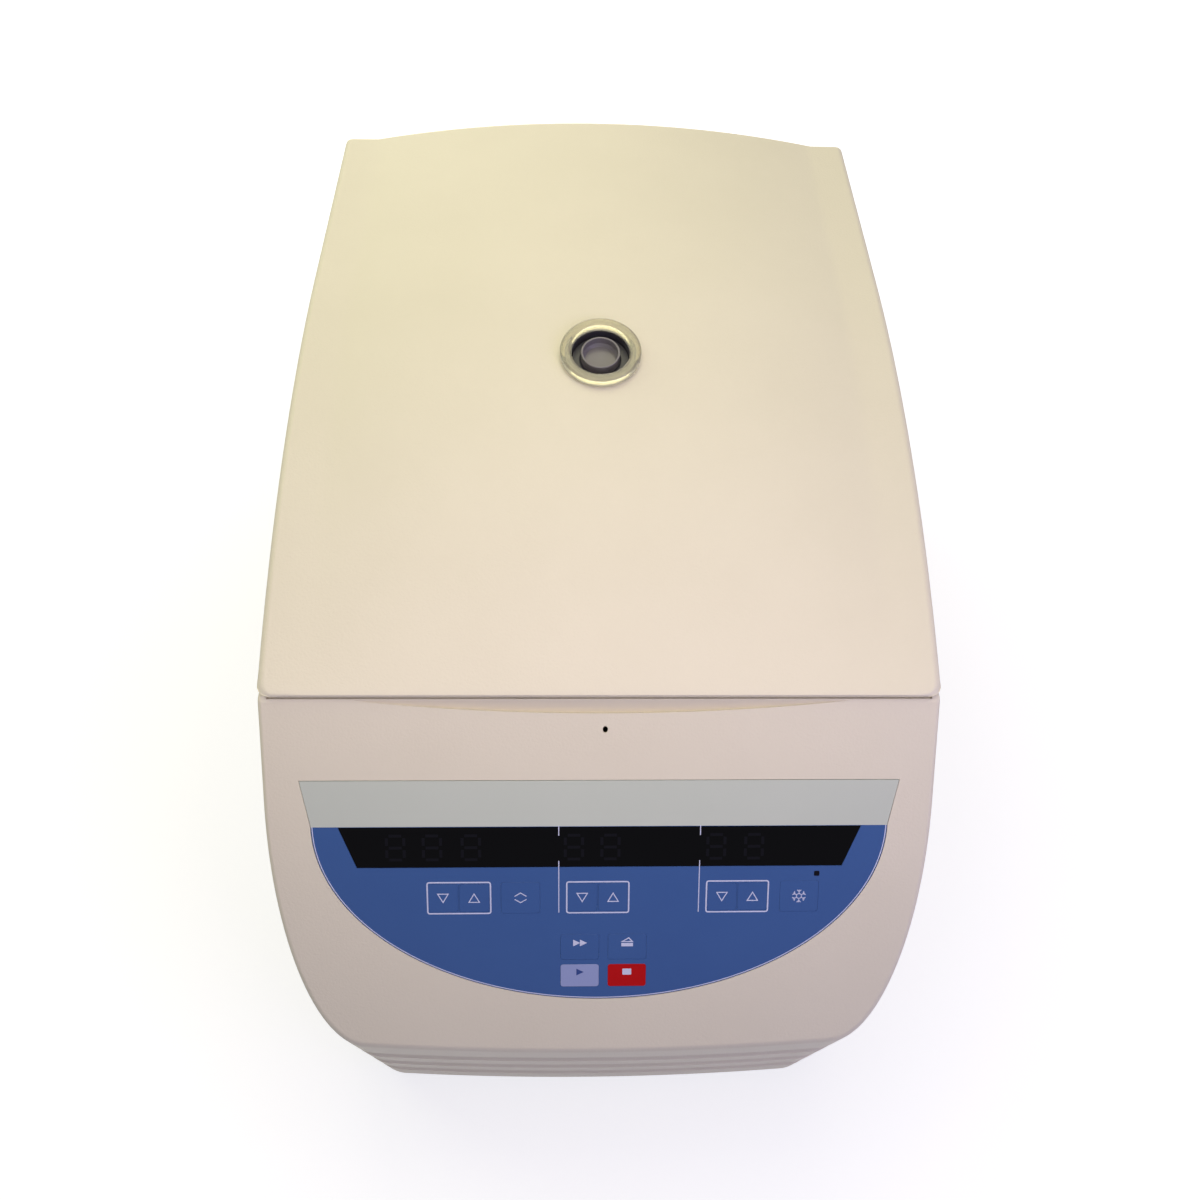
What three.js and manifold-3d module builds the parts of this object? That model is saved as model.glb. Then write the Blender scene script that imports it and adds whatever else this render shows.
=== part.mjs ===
// Refrigerated benchtop microcentrifuge: a moulded cabinet with a sloping key panel, a hinged lid over a
// cooled rotor chamber, and the drive, cooling and lock parts inside.
// Millimetres, +Z up, front towards -Y, origin on the bench under the middle of the body.

import * as THREE from "three";
import { mergeVertices } from "three/addons/utils/BufferGeometryUtils.js";
import Module from "manifold-3d";

const wasm = await Module();
wasm.setup();

// Cabinet
const bodyWidth = 290;
const bodyDepth = 464;
const bodyBottomZ = 12.5;
const panelFootZ = 134;
const panelRun = 122.5;
const deckZ = 247.6;
const wall = 3.5;
const cornerWide = 40;
const cornerDeep = 85.7;
const noseBulge = 3;
const rearRound = 10;

// Lid
const lidGap = 2;
const lidRise = 38.4;
const lidCrown = 11.6;
const lidLip = 2.7;
const lidFlatLength = 121.7;
const lidWall = 3;
const lidEdgeRound = 4;
const lidFrontBar = 26;
const hingeInset = 5;
const hingeLift = 7.4;

// Chamber and rotor
const foamSideRoom = 19;
const foamFrontRoom = 29.3;
const foamRearRoom = 60.2;
const foamThickness = 15.5;
const foamUnderBowl = 23;
const coilRoom = 10.5;
const mouthLip = 4;
const bowlWall = 1.5;
const bowlDepth = 107.6;
const rotorRoom = 13;
const rotorClearance = 16;
const rotorHeight = 47;
const spindleRadius = 7;

// Key panel
const filmThickness = 1;
const boardDepth = 9.6;
const keyTravel = 0.5;

// Distances in from the cabinet's side
const insets = {
  filmTop: 16,
  filmBand: 20,
  lidCrease: 19,
  hingeStation: 50,
  foot: 33,
  inlet: 41,
  mainsSwitch: 73,
  compressor: 83,
  condenserInner: 32,
  condenserOuter: 9,
  powerBoard: 11,
  rearOpeningLeft: 33,
  rearOpeningRight: 125,
};

// Distances back from the cabinet's nose, forward from its rear and back from the lid's front edge
const fromNose = { vents: 106, foot: 67, compressor: 90, condenserNear: 84, condenserFar: 190 };
const fromRear = { foot: 36, hingeBase: 26, powerFar: 122, powerNear: 262 };
const fromSeam = { slotNear: 3, striker: 8, lockFrameNear: 11.5, slotFar: 15, lockAxis: 21, lockFrameFar: 27.5 };

// Clearances and round counts
const fit = 0.3;
const overrun = 4;
const bigSides = 36;
const midSides = 20;
const smallSides = 12;
const cornerSteps = 6;
const smallCornerSteps = 2;

// Places that follow from those sizes
const halfWidth = bodyWidth / 2;
const frontY = -bodyDepth / 2;
const rearY = bodyDepth / 2;
const seamY = frontY + panelRun;
const panelAngle = Math.atan2(deckZ - panelFootZ, panelRun);
const lidBottomZ = deckZ + lidGap;
const lidSideZ = lidBottomZ + lidRise;
const lidBrowY = rearY - lidFlatLength;
const lidBrowDrop = lidSideZ - lidBottomZ - lidLip;
const lidBrowRadius = ((lidBrowY - seamY) ** 2 + lidBrowDrop ** 2) / (2 * lidBrowDrop);
const lidCreaseX = halfWidth - insets.lidCrease;
const hingeStationX = halfWidth - insets.hingeStation;
const hingeY = rearY - hingeInset;
const hingeZ = deckZ + hingeLift;

// The chamber's foam is the largest round that fits between the side walls and between lock and hinge.
const foamLengthRoom = (rearY - seamY - foamFrontRoom - foamRearRoom) / 2;
const foamRadius = Math.min(halfWidth - foamSideRoom, foamLengthRoom);
const rotorY = seamY + foamFrontRoom + foamLengthRoom;
const bowlRadius = foamRadius - foamThickness - coilRoom;
const mouthRadius = bowlRadius + mouthLip;
const rotorRadius = bowlRadius - rotorRoom;
const bowlFloorZ = deckZ - bowlDepth;
const rotorBaseZ = bowlFloorZ + rotorClearance;

// Looks

const looks = {
  cream: { color: 0xddd1bd, roughness: 0.55, metalness: 0 },
  innerGrey: { color: 0xb9bab8, roughness: 0.6, metalness: 0 },
  darkGrey: { color: 0x3b3d40, roughness: 0.5, metalness: 0 },
  film: { color: 0x3a5a98, roughness: 0.4, metalness: 0 },
  startKey: { color: 0x9aa4cf, roughness: 0.4, metalness: 0 },
  stopKey: { color: 0xb00a10, roughness: 0.4, metalness: 0 },
  smoked: { color: 0x08080c, roughness: 0.15, metalness: 0 },
  clear: { color: 0xe8ecea, roughness: 0.1, metalness: 0 },
  frosted: { color: 0xb4b8ba, roughness: 0.35, metalness: 0 },
  rubber: { color: 0x1c1c1e, roughness: 0.85, metalness: 0 },
  sheet: { color: 0xa8acb0, roughness: 0.45, metalness: 0.8 },
  stainless: { color: 0xc4c7c9, roughness: 0.3, metalness: 1 },
  rotorMetal: { color: 0x6d7278, roughness: 0.4, metalness: 0.9 },
  foam: { color: 0xd8cfa8, roughness: 0.95, metalness: 0 },
  copper: { color: 0xb46a42, roughness: 0.35, metalness: 1 },
  blackPaint: { color: 0x1a1b1d, roughness: 0.5, metalness: 0.3 },
  fins: { color: 0x9aa0a5, roughness: 0.5, metalness: 0.9 },
  board: { color: 0x1d5b3a, roughness: 0.5, metalness: 0 },
};

// Solids from three.js geometry

const weldDistance = 1e-3;

// A closed geometry as a solid that can be joined and cut, with its faces pointing out.
function solidOf(geometry) {
  const bare = geometry.clone();
  bare.deleteAttribute("normal");
  bare.deleteAttribute("uv");
  const welded = mergeVertices(bare, weldDistance);
  const corners = [];
  for (let i = 0; i < welded.index.count; i += 3) {
    const [a, b, c] = [0, 1, 2].map((k) => welded.index.getX(i + k));
    if (a !== b && b !== c && c !== a) corners.push(a, b, c);
  }
  const made = new wasm.Manifold(
    new wasm.Mesh({
      numProp: 3,
      vertProperties: welded.attributes.position.array,
      triVerts: new Uint32Array(corners),
    }),
  );
  if (made.volume() > 0) return made;
  const reversed = corners.slice().reverse();
  return new wasm.Manifold(
    new wasm.Mesh({
      numProp: 3,
      vertProperties: welded.attributes.position.array,
      triVerts: new Uint32Array(reversed),
    }),
  );
}

const joined = (first, ...others) => others.reduce((sum, next) => sum.add(next), first);
const trimmed = (first, ...cutters) => cutters.reduce((rest, cutter) => rest.subtract(cutter), first);

// Maps that stand an outline's extrusion along X or along Y instead of along Z.
const alongX = new THREE.Matrix4().makeBasis(
  new THREE.Vector3(0, 1, 0),
  new THREE.Vector3(0, 0, 1),
  new THREE.Vector3(1, 0, 0),
);
const alongY = new THREE.Matrix4().makeBasis(
  new THREE.Vector3(0, 0, 1),
  new THREE.Vector3(1, 0, 0),
  new THREE.Vector3(0, 1, 0),
);
const inPlace = new THREE.Matrix4();

// The box between two corners.
function block([xLow, yLow, zLow], [xHigh, yHigh, zHigh], frame = inPlace) {
  const geometry = new THREE.BoxGeometry(xHigh - xLow, yHigh - yLow, zHigh - zLow);
  geometry.translate((xLow + xHigh) / 2, (yLow + yHigh) / 2, (zLow + zHigh) / 2);
  return solidOf(geometry.applyMatrix4(frame));
}

// An outline drawn in a frame's own XY plane, extruded between two heights of that frame.
function prism(shape, low, high, frame = inPlace, curveSegments = cornerSteps) {
  const geometry = new THREE.ExtrudeGeometry(shape, {
    depth: high - low,
    bevelEnabled: false,
    curveSegments,
  });
  geometry.translate(0, 0, low);
  return solidOf(geometry.applyMatrix4(frame));
}

// A round bar along a frame's own Z axis, through the point [x, y] of that frame.
function rod(radius, [x, y], low, high, sides = smallSides, frame = inPlace, endRadius = radius) {
  const geometry = new THREE.CylinderGeometry(endRadius, radius, high - low, sides);
  geometry.rotateX(Math.PI / 2);
  geometry.translate(x, y, (low + high) / 2);
  return solidOf(geometry.applyMatrix4(frame));
}

// A profile of [radius, height] points revolved about a frame's own Z axis.
function revolved(profile, sides = bigSides, frame = inPlace) {
  const points = profile.map(([radius, height]) => new THREE.Vector2(radius, height));
  const touchesAxis = points[0].x === 0 && points[points.length - 1].x === 0;
  if (!touchesAxis) points.push(points[0].clone());
  const geometry = new THREE.LatheGeometry(points, sides);
  geometry.rotateX(Math.PI / 2);
  return solidOf(geometry.applyMatrix4(frame));
}

// A skin through equal-sized rings of points, closed at both ends. The rings run anticlockwise in the
// plane that capPoint lays them in.
function lofted(rings, capPoint) {
  const count = rings[0].length;
  const positions = rings.flat().flatMap((point) => point.toArray());
  const triangles = [];
  for (let ring = 0; ring + 1 < rings.length; ring++) {
    for (let i = 0; i < count; i++) {
      const next = (i + 1) % count;
      const here = ring * count;
      const ahead = here + count;
      triangles.push(here + i, here + next, ahead + next, here + i, ahead + next, ahead + i);
    }
  }
  const cap = THREE.ShapeUtils.triangulateShape(rings[0].map(capPoint), []);
  const last = (rings.length - 1) * count;
  for (const [a, b, c] of cap) triangles.push(a, c, b, last + a, last + b, last + c);
  const geometry = new THREE.BufferGeometry();
  geometry.setAttribute("position", new THREE.Float32BufferAttribute(positions, 3));
  geometry.setIndex(triangles);
  return solidOf(geometry);
}

// A round tube of one radius along a curve.
function piped(curve, radius, steps, halfSides) {
  const section = new THREE.Shape();
  section.absarc(0, 0, radius, 0, 2 * Math.PI);
  const geometry = new THREE.ExtrudeGeometry(section, {
    steps,
    extrudePath: curve,
    curveSegments: halfSides,
    bevelEnabled: false,
  });
  return solidOf(geometry);
}

// Outlines

function polygon(points) {
  return new THREE.Shape(points.map(([x, y]) => new THREE.Vector2(x, y)));
}

function rectangle(xLow, xHigh, yLow, yHigh) {
  return polygon([
    [xLow, yLow],
    [xHigh, yLow],
    [xHigh, yHigh],
    [xLow, yHigh],
  ]);
}

function roundedRectangle(xLow, xHigh, yLow, yHigh, radius) {
  const shape = new THREE.Shape();
  shape.absarc(xHigh - radius, yHigh - radius, radius, 0, Math.PI / 2);
  shape.absarc(xLow + radius, yHigh - radius, radius, Math.PI / 2, Math.PI);
  shape.absarc(xLow + radius, yLow + radius, radius, Math.PI, 1.5 * Math.PI);
  shape.absarc(xHigh - radius, yLow + radius, radius, 1.5 * Math.PI, 2 * Math.PI);
  shape.closePath();
  return shape;
}

function disc(radius, x = 0, y = 0) {
  const shape = new THREE.Shape();
  shape.absarc(x, y, radius, 0, 2 * Math.PI);
  return shape;
}

// The cabinet's plan, drawn in by `inset`: square rear corners with a small round, long elliptical front
// corners and a slightly bowed nose.
function planOutline(inset) {
  const side = halfWidth - inset;
  const back = rearY - inset;
  const round = rearRound - inset;
  const cornerX = halfWidth - cornerWide;
  const shoulderY = frontY + noseBulge;
  const cornerY = shoulderY + cornerDeep;
  const wide = cornerWide - inset;
  const deep = cornerDeep - inset;
  const shape = new THREE.Shape();
  shape.absarc(side - round, back - round, round, 0, Math.PI / 2);
  shape.absarc(-side + round, back - round, round, Math.PI / 2, Math.PI);
  shape.absellipse(-cornerX, cornerY, wide, deep, Math.PI, 1.5 * Math.PI);
  shape.quadraticCurveTo(0, shoulderY + inset - 2 * noseBulge, cornerX, shoulderY + inset);
  shape.absellipse(cornerX, cornerY, wide, deep, 1.5 * Math.PI, 2 * Math.PI);
  shape.closePath();
  return shape;
}

// Height of the panel plane at a given Y, moved in by `inset` along its own normal.
function panelHeightAt(y, inset) {
  return panelFootZ + (y - frontY) * Math.tan(panelAngle) - inset / Math.cos(panelAngle);
}

// Y of the panel plane at a given height, moved in by `inset` along its own normal.
function panelYAt(z, inset) {
  return frontY + (z - panelFootZ + inset / Math.cos(panelAngle)) / Math.tan(panelAngle);
}

// The cabinet's side view, as [y, z] points, drawn in by `inset` at the front, top, panel and rear.
function sideOutline(inset, bottom) {
  return polygon([
    [frontY + inset, bottom],
    [rearY - inset, bottom],
    [rearY - inset, deckZ - inset],
    [panelYAt(deckZ - inset, inset), deckZ - inset],
    [frontY + inset, panelHeightAt(frontY + inset, inset)],
  ]);
}

function cabinetForm(inset, bottom) {
  const sideways = prism(sideOutline(inset, bottom), -halfWidth + inset, halfWidth - inset, alongX);
  return sideways.intersect(prism(planOutline(inset), bottom, deckZ));
}

// Key panel layout, in the panel's own frame: x across, y up the slope from the lid seam, z out of it

const panelFrame = new THREE.Matrix4()
  .makeTranslation(0, seamY, deckZ)
  .multiply(new THREE.Matrix4().makeRotationX(panelAngle));

const film = {
  top: 36.5,
  bandBottom: 57.4,
  bottom: 140,
  topHalf: halfWidth - insets.filmTop,
  bandHalf: halfWidth - insets.filmBand,
};
const filmSteps = 16;

// Places and widths across the panel, as shares of the band's half width.
const displayTopShare = 0.908;
const displayBottomShare = 0.848;
const keyColumnShares = {
  speed: -0.4992,
  unit: -0.2824,
  time: -0.0112,
  temperature: 0.4824,
  cooling: 0.7024,
  left: -0.0736,
  right: 0.0952,
};
const arrowPitchShare = 0.1088;
const arrowWidthShare = 0.1024;
const wideKeyShare = 0.1344;
const boardHalfShare = 0.832;
const upperBossShare = 0.784;
const lowerBossShare = 0.456;

const display = {
  top: 57.7,
  bottom: 76.3,
  topHalf: film.bandHalf * displayTopShare,
  bottomHalf: film.bandHalf * displayBottomShare,
  ledge: 3,
};
const keyRows = { arrows: 90.8, upper: 114.6, lower: 128.6 };
const keyColumns = Object.fromEntries(
  Object.entries(keyColumnShares).map(([name, share]) => [name, share * film.bandHalf]),
);
const arrowPitch = arrowPitchShare * film.bandHalf;
const arrowKey = { width: arrowWidthShare * film.bandHalf, height: 12.8 };
const wideKeyWidth = wideKeyShare * film.bandHalf;
const menuKey = { width: wideKeyWidth, height: 14.4 };
const upperKey = { width: wideKeyWidth, height: 12 };
const lowerKey = { width: wideKeyWidth, height: 10.6 };
const keyCapDepth = 2.5;
const keyCapProud = 0.25;
const keyStemRadius = 2.5;
const switchHeight = 1.6;

const keys = [
  { name: "speed_down_key", x: keyColumns.speed - arrowPitch / 2, y: -keyRows.arrows, size: arrowKey },
  { name: "speed_up_key", x: keyColumns.speed + arrowPitch / 2, y: -keyRows.arrows, size: arrowKey },
  { name: "speed_unit_key", x: keyColumns.unit, y: -keyRows.arrows, size: menuKey },
  { name: "time_down_key", x: keyColumns.time - arrowPitch / 2, y: -keyRows.arrows, size: arrowKey },
  { name: "time_up_key", x: keyColumns.time + arrowPitch / 2, y: -keyRows.arrows, size: arrowKey },
  { name: "temp_down_key", x: keyColumns.temperature - arrowPitch / 2, y: -keyRows.arrows, size: arrowKey },
  { name: "temp_up_key", x: keyColumns.temperature + arrowPitch / 2, y: -keyRows.arrows, size: arrowKey },
  { name: "cooling_key", x: keyColumns.cooling, y: -keyRows.arrows, size: menuKey },
  { name: "pulse_key", x: keyColumns.left, y: -keyRows.upper, size: upperKey },
  { name: "open_key", x: keyColumns.right, y: -keyRows.upper, size: upperKey },
  { name: "start_key", x: keyColumns.left, y: -keyRows.lower, size: lowerKey, look: "startKey" },
  { name: "stop_key", x: keyColumns.right, y: -keyRows.lower, size: lowerKey, look: "stopKey" },
];

// The film's outline: a tapering band over a half ellipse, grown by `grow`.
function filmOutline(grow) {
  const shape = new THREE.Shape();
  shape.moveTo(film.topHalf + grow, -film.top + grow);
  shape.lineTo(-film.topHalf - grow, -film.top + grow);
  shape.lineTo(-film.bandHalf - grow, -film.bandBottom);
  const drop = film.bottom - film.bandBottom + grow;
  shape.absellipse(0, -film.bandBottom, film.bandHalf + grow, drop, Math.PI, 2 * Math.PI);
  shape.closePath();
  return shape;
}

function displayOutline(grow) {
  return polygon([
    [-display.topHalf - grow, -display.top + grow],
    [-display.bottomHalf - grow, -display.bottom - grow],
    [display.bottomHalf + grow, -display.bottom - grow],
    [display.topHalf + grow, -display.top + grow],
  ]);
}

function keyOutline({ width, height }, grow, x = 0, y = 0) {
  const halfAcross = width / 2 + grow;
  const halfUp = height / 2 + grow;
  return rectangle(x - halfAcross, x + halfAcross, y - halfUp, y + halfUp);
}

// Lid form

const lidFrontRound = 6;
const lidLipRound = 1.5;

// Height of the lid's flat side strips at a given Y.
function lidStripZ(y) {
  const ahead = Math.max(0, lidBrowY - y);
  return lidSideZ - lidBrowRadius + Math.sqrt(lidBrowRadius ** 2 - ahead ** 2);
}

// How far the lid's middle stands over its side strips at a given Y.
function lidCrownAt(y) {
  const share = Math.max(0, (lidBrowY - y) / (lidBrowY - seamY));
  return lidCrown * Math.max(0, 1 - share ** 2);
}

function lidTopZ(x, y) {
  return lidStripZ(y) + lidCrownAt(y) * Math.max(0, 1 - (x / lidCreaseX) ** 2);
}

// One cross-section of the lid at a given Y, drawn in by `inset`, with its underside at `bottom`.
const crownSteps = 6;
function lidRing(y, inset, topDrop, bottom, round) {
  const side = halfWidth - inset;
  const strip = lidStripZ(y) - topDrop;
  const shoulder = Math.max(strip - round, bottom + lidLipRound / 2);
  const right = [
    [side, bottom],
    [side, shoulder],
    [side - round * (1 - Math.SQRT1_2), strip - (strip - shoulder) * (1 - Math.SQRT1_2)],
    [side - round, strip],
  ];
  const top = [];
  for (let step = -crownSteps; step <= crownSteps; step++) {
    const x = (-lidCreaseX * step) / crownSteps;
    top.push([x, lidTopZ(x, y) - topDrop]);
  }
  const left = right.map(([x, z]) => [-x, z]).reverse();
  return [...right, ...top, ...left].map(([x, z]) => new THREE.Vector3(x, y, z));
}

// How far a rounded end has drawn in at a distance from its face.
function endDraw(distance, round) {
  return distance >= round ? 0 : round - Math.sqrt(round ** 2 - (round - distance) ** 2);
}

const lidBodySteps = 7;
const endRoundShares = [0, 0.134, 0.5, 1];

function lidForm() {
  const rings = [];
  for (const share of endRoundShares) {
    const distance = share * lidFrontRound;
    const lipDrop = endDraw(distance, lidLipRound);
    const draw = endDraw(distance, lidFrontRound);
    rings.push(lidRing(seamY + distance, draw, lipDrop, lidBottomZ, lidEdgeRound));
  }
  const bodyStart = seamY + lidFrontRound;
  for (let step = 1; step <= lidBodySteps; step++) {
    const y = bodyStart + ((lidBrowY - bodyStart) * step) / lidBodySteps;
    rings.push(lidRing(y, 0, 0, lidBottomZ, lidEdgeRound));
  }
  for (const share of [...endRoundShares].reverse()) {
    const distance = share * lidEdgeRound;
    const draw = endDraw(distance, lidEdgeRound);
    rings.push(lidRing(rearY - distance, draw, draw, lidBottomZ, lidEdgeRound));
  }
  return lofted(rings, (point) => new THREE.Vector2(point.x, point.z));
}

function lidCavity() {
  const start = seamY + lidFrontBar;
  const end = rearY - lidWall;
  const round = lidEdgeRound - lidWall;
  const bottom = lidBottomZ - overrun;
  const rings = [];
  for (let step = 0; step <= lidBodySteps; step++) {
    const y = start + ((lidBrowY - start) * step) / lidBodySteps;
    rings.push(lidRing(y, lidWall, lidWall, bottom, round));
  }
  rings.push(lidRing(end, lidWall, lidWall, bottom, round));
  return lofted(rings, (point) => new THREE.Vector2(point.x, point.z));
}

// Sight window, tilted with the lid's surface over the rotor axis

const sight = {
  ringOuter: 19.1,
  ringInner: 13.8,
  ringHeight: 3.4,
  wellOuter: 16.6,
  wellInner: 13.6,
  ledgeDrop: 5,
  ledgeWidth: 1.6,
  cupOuter: 9.2,
  cupWall: 1.4,
  cupDepth: 9,
  cupFloor: 1.4,
};
const slopeStep = 1;
const sightSlope = Math.atan2(
  lidTopZ(0, rotorY + slopeStep) - lidTopZ(0, rotorY - slopeStep),
  slopeStep + slopeStep,
);
const sightZ = lidTopZ(0, rotorY);
const sightFrame = new THREE.Matrix4()
  .makeTranslation(0, rotorY, sightZ)
  .multiply(new THREE.Matrix4().makeRotationX(sightSlope));

// Chamber seal, and the lid liner whose bead presses on it

const flange = { reach: 12, thickness: 1.2 };
const sealReach = { beadInner: 2, inner: 3, outer: 15, beadOuter: 18 };
const seal = {
  inner: bowlRadius + sealReach.inner,
  outer: bowlRadius + sealReach.outer,
  beadHeight: 3.9,
  skirt: 2,
};
const linerBead = {
  inner: bowlRadius + sealReach.beadInner,
  outer: bowlRadius + sealReach.beadOuter,
  drop: 1.2,
};
const sealLowZ = deckZ + flange.thickness + 2 * fit;
const linerZ = sealLowZ + seal.beadHeight + fit + linerBead.drop;
const linerThickness = 2.5;

// Lock places, with their depths under the deck

const lockDepths = { striker: 23.6, axis: 28.1, tray: 40.6 };

const striker = {
  x: 35,
  y: seamY + fromSeam.striker,
  width: 9,
  thickness: 3,
  bottomZ: deckZ - lockDepths.striker,
  lipLength: 4,
  lipHeight: 3,
  pocketDepth: 3.1,
};
const lock = {
  axisY: seamY + fromSeam.lockAxis,
  axisZ: deckZ - lockDepths.axis,
  shaftRadius: 3,
  noseLow: 8.2,
  noseHigh: 12.5,
  noseReach: 11,
  armHalf: 3,
  hookWidth: 7,
  cheekX: 56,
  cheekThickness: 3,
  trayZ: deckZ - lockDepths.tray,
  trayThickness: 2.5,
  frameFrontY: seamY + fromSeam.lockFrameNear,
  frameRearY: seamY + fromSeam.lockFrameFar,
};
const releasedAngle = THREE.MathUtils.degToRad(35);

// Cabinet pieces

const grooves = { count: 3, height: 2.2, depth: 1.5, rearMargin: 26 };

// The shallow grooves that divide the lower wall into bands.
function grooveRing(z) {
  const ring = prism(planOutline(-overrun), z - grooves.height / 2, z + grooves.height / 2).subtract(
    prism(planOutline(grooves.depth), z - grooves.height, z + grooves.height),
  );
  const reach = rearY - grooves.rearMargin;
  return ring.subtract(
    block([-bodyWidth, reach, z - grooves.height], [bodyWidth, rearY + bodyDepth, z + grooves.height]),
  );
}

const scoop = { half: 113, drop: 6.5, depth: 3 };
const scoopSteps = 12;

// The finger scoop under the lid's front edge: a lens-shaped hollow that deepens towards the seam.
function scoopCutter() {
  const lens = (drop, top, out) => {
    const ring = [];
    for (let i = 0; i <= scoopSteps; i++) {
      const x = scoop.half * ((i + i) / scoopSteps - 1);
      ring.push(new THREE.Vector3(x, -drop * (1 - (x / scoop.half) ** 2) - fit, out));
    }
    ring.push(new THREE.Vector3(scoop.half, top, out), new THREE.Vector3(-scoop.half, top, out));
    return ring.map((point) => point.applyMatrix4(panelFrame));
  };
  const slopePerDepth = scoop.drop / scoop.depth;
  return lofted(
    [lens(fit, overrun, -scoop.depth), lens(scoop.drop + overrun * slopePerDepth, overrun, overrun)],
    (point) => new THREE.Vector2(point.x, point.y),
  );
}

const vents = { count: 10, width: 3.6, pitch: 8.4, firstY: frontY + fromNose.vents, lowZ: 46, highZ: 101 };
const rearOpening = {
  xLow: insets.rearOpeningLeft - halfWidth,
  xHigh: halfWidth - insets.rearOpeningRight,
  zLow: 62,
  zHigh: 142,
};
const inlet = { x: halfWidth - insets.inlet, z: 48, width: 27, height: 20, flangeWidth: 34, flangeHeight: 26, flangeThickness: 2.4 };
const mainsSwitch = { x: halfWidth - insets.mainsSwitch, z: 48, width: 13, height: 28, flange: 2.5, flangeThickness: 2 };
const releaseHole = { x: 1.3, down: 13.6, radius: 1.1 };
const bossRadius = 3.5;
const upperBoss = { x: film.bandHalf * upperBossShare, down: 78.5 };
const lowerBoss = { x: film.bandHalf * lowerBossShare, down: 128 };
const strikerSlot = { width: 13, frontY: seamY + fromSeam.slotNear, rearY: seamY + fromSeam.slotFar };
const hingeTrough = 8.2;

function mainHousing() {
  let housing = cabinetForm(0, bodyBottomZ).subtract(cabinetForm(wall, bodyBottomZ - overrun));

  const bandPitch = (panelFootZ - bodyBottomZ) / (grooves.count + 1);
  for (let i = 1; i <= grooves.count; i++) {
    housing = housing.subtract(grooveRing(panelFootZ - bandPitch * i));
  }

  housing = trimmed(
    housing,
    rod(mouthRadius, [0, rotorY], deckZ - wall - overrun, deckZ + overrun, bigSides),
    scoopCutter(),
    prism(filmOutline(fit), -filmThickness - fit, overrun, panelFrame, filmSteps),
    prism(displayOutline(-display.ledge), -wall - overrun, overrun, panelFrame),
    rod(releaseHole.radius, [releaseHole.x, -releaseHole.down], -wall - overrun, overrun, smallSides, panelFrame),
    rod(hingeTrough, [hingeY, hingeZ], -bodyWidth, bodyWidth, midSides, alongX),
  );

  for (const key of keys) {
    housing = housing.subtract(
      prism(keyOutline(key.size, fit, key.x, key.y), -wall - overrun, overrun, panelFrame),
    );
  }

  for (const side of [-1, 1]) {
    const middle = side * striker.x;
    housing = housing.subtract(
      block(
        [middle - strikerSlot.width / 2, strikerSlot.frontY, deckZ - wall - overrun],
        [middle + strikerSlot.width / 2, strikerSlot.rearY, deckZ + overrun],
      ),
    );
    for (const { x, down } of [upperBoss, lowerBoss]) {
      const place = [side * x, -down];
      housing = housing.add(
        rod(bossRadius, place, -boardDepth + fit, -filmThickness - 2 * fit, smallSides, panelFrame),
      );
    }
  }

  for (let i = 0; i < vents.count; i++) {
    const y = vents.firstY + vents.pitch * i;
    housing = housing.subtract(
      block([halfWidth - wall - overrun, y, vents.lowZ], [halfWidth + overrun, y + vents.width, vents.highZ]),
    );
  }

  const throughRear = (shape) => prism(shape, rearY - wall - overrun, rearY + overrun, alongY);
  const hole = (x, z, width, height) =>
    throughRear(rectangle(z - height / 2, z + height / 2, x - width / 2, x + width / 2));
  return trimmed(
    housing,
    throughRear(rectangle(rearOpening.zLow, rearOpening.zHigh, rearOpening.xLow, rearOpening.xHigh)),
    hole(inlet.x, inlet.z, inlet.width + 2 * fit, inlet.height + 2 * fit),
    hole(mainsSwitch.x, mainsSwitch.z, mainsSwitch.width + 2 * fit, mainsSwitch.height + 2 * fit),
  );
}
const floorPan = { thickness: 2, lift: 1, slotLength: 60, slotWidth: 3.5, slotPitch: 9, slotCount: 7 };
const panTopZ = bodyBottomZ + floorPan.lift + floorPan.thickness;
const seatZ = panTopZ + fit;

// The steel floor that closes the cabinet, with a block of air slots under the condenser.
function basePlate() {
  let plate = prism(planOutline(wall + fit), panTopZ - floorPan.thickness, panTopZ);
  const centreX = condenser.xLow - floorPan.slotLength;
  for (let i = 0; i < floorPan.slotCount; i++) {
    const y = condenser.yLow + floorPan.slotPitch * i;
    plate = plate.subtract(
      prism(
        roundedRectangle(centreX, centreX + floorPan.slotLength, y, y + floorPan.slotWidth, floorPan.slotWidth / 3),
        panTopZ - floorPan.thickness - overrun,
        panTopZ + overrun,
        inPlace,
        smallCornerSteps,
      ),
    );
  }
  return plate;
}

const foot = {
  radius: 15,
  tipRadius: 12.5,
  recessRadius: 5,
  recessDepth: 3,
  x: halfWidth - insets.foot,
  frontY: frontY + fromNose.foot,
  rearY: rearY - fromRear.foot,
};

function rubberFoot() {
  const top = bodyBottomZ + floorPan.lift - fit;
  return revolved(
    [
      [0, foot.recessDepth],
      [foot.recessRadius, foot.recessDepth],
      [foot.recessRadius, 0],
      [foot.tipRadius, 0],
      [foot.radius, top / 4],
      [foot.radius, top],
      [0, top],
    ],
    smallSides,
  );
}

function keypadOverlay() {
  let overlay = prism(filmOutline(0), -filmThickness, 0, inPlace, filmSteps);
  overlay = overlay.subtract(prism(displayOutline(fit), -filmThickness - overrun, overrun));
  for (const key of keys) {
    overlay = overlay.subtract(
      prism(keyOutline(key.size, fit, key.x, key.y), -filmThickness - overrun, overrun),
    );
  }
  return overlay;
}

function displayWindow() {
  return prism(displayOutline(0), -filmThickness, 0);
}

// A key cap with the stem that carries the press down to its switch.
function keyCap({ size }) {
  const cap = prism(keyOutline(size, 0), -keyCapDepth, keyCapProud);
  const stemEnd = -boardDepth + switchHeight + fit + keyTravel;
  return cap.add(rod(keyStemRadius, [0, 0], stemEnd, -keyCapDepth + fit));
}

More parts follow.
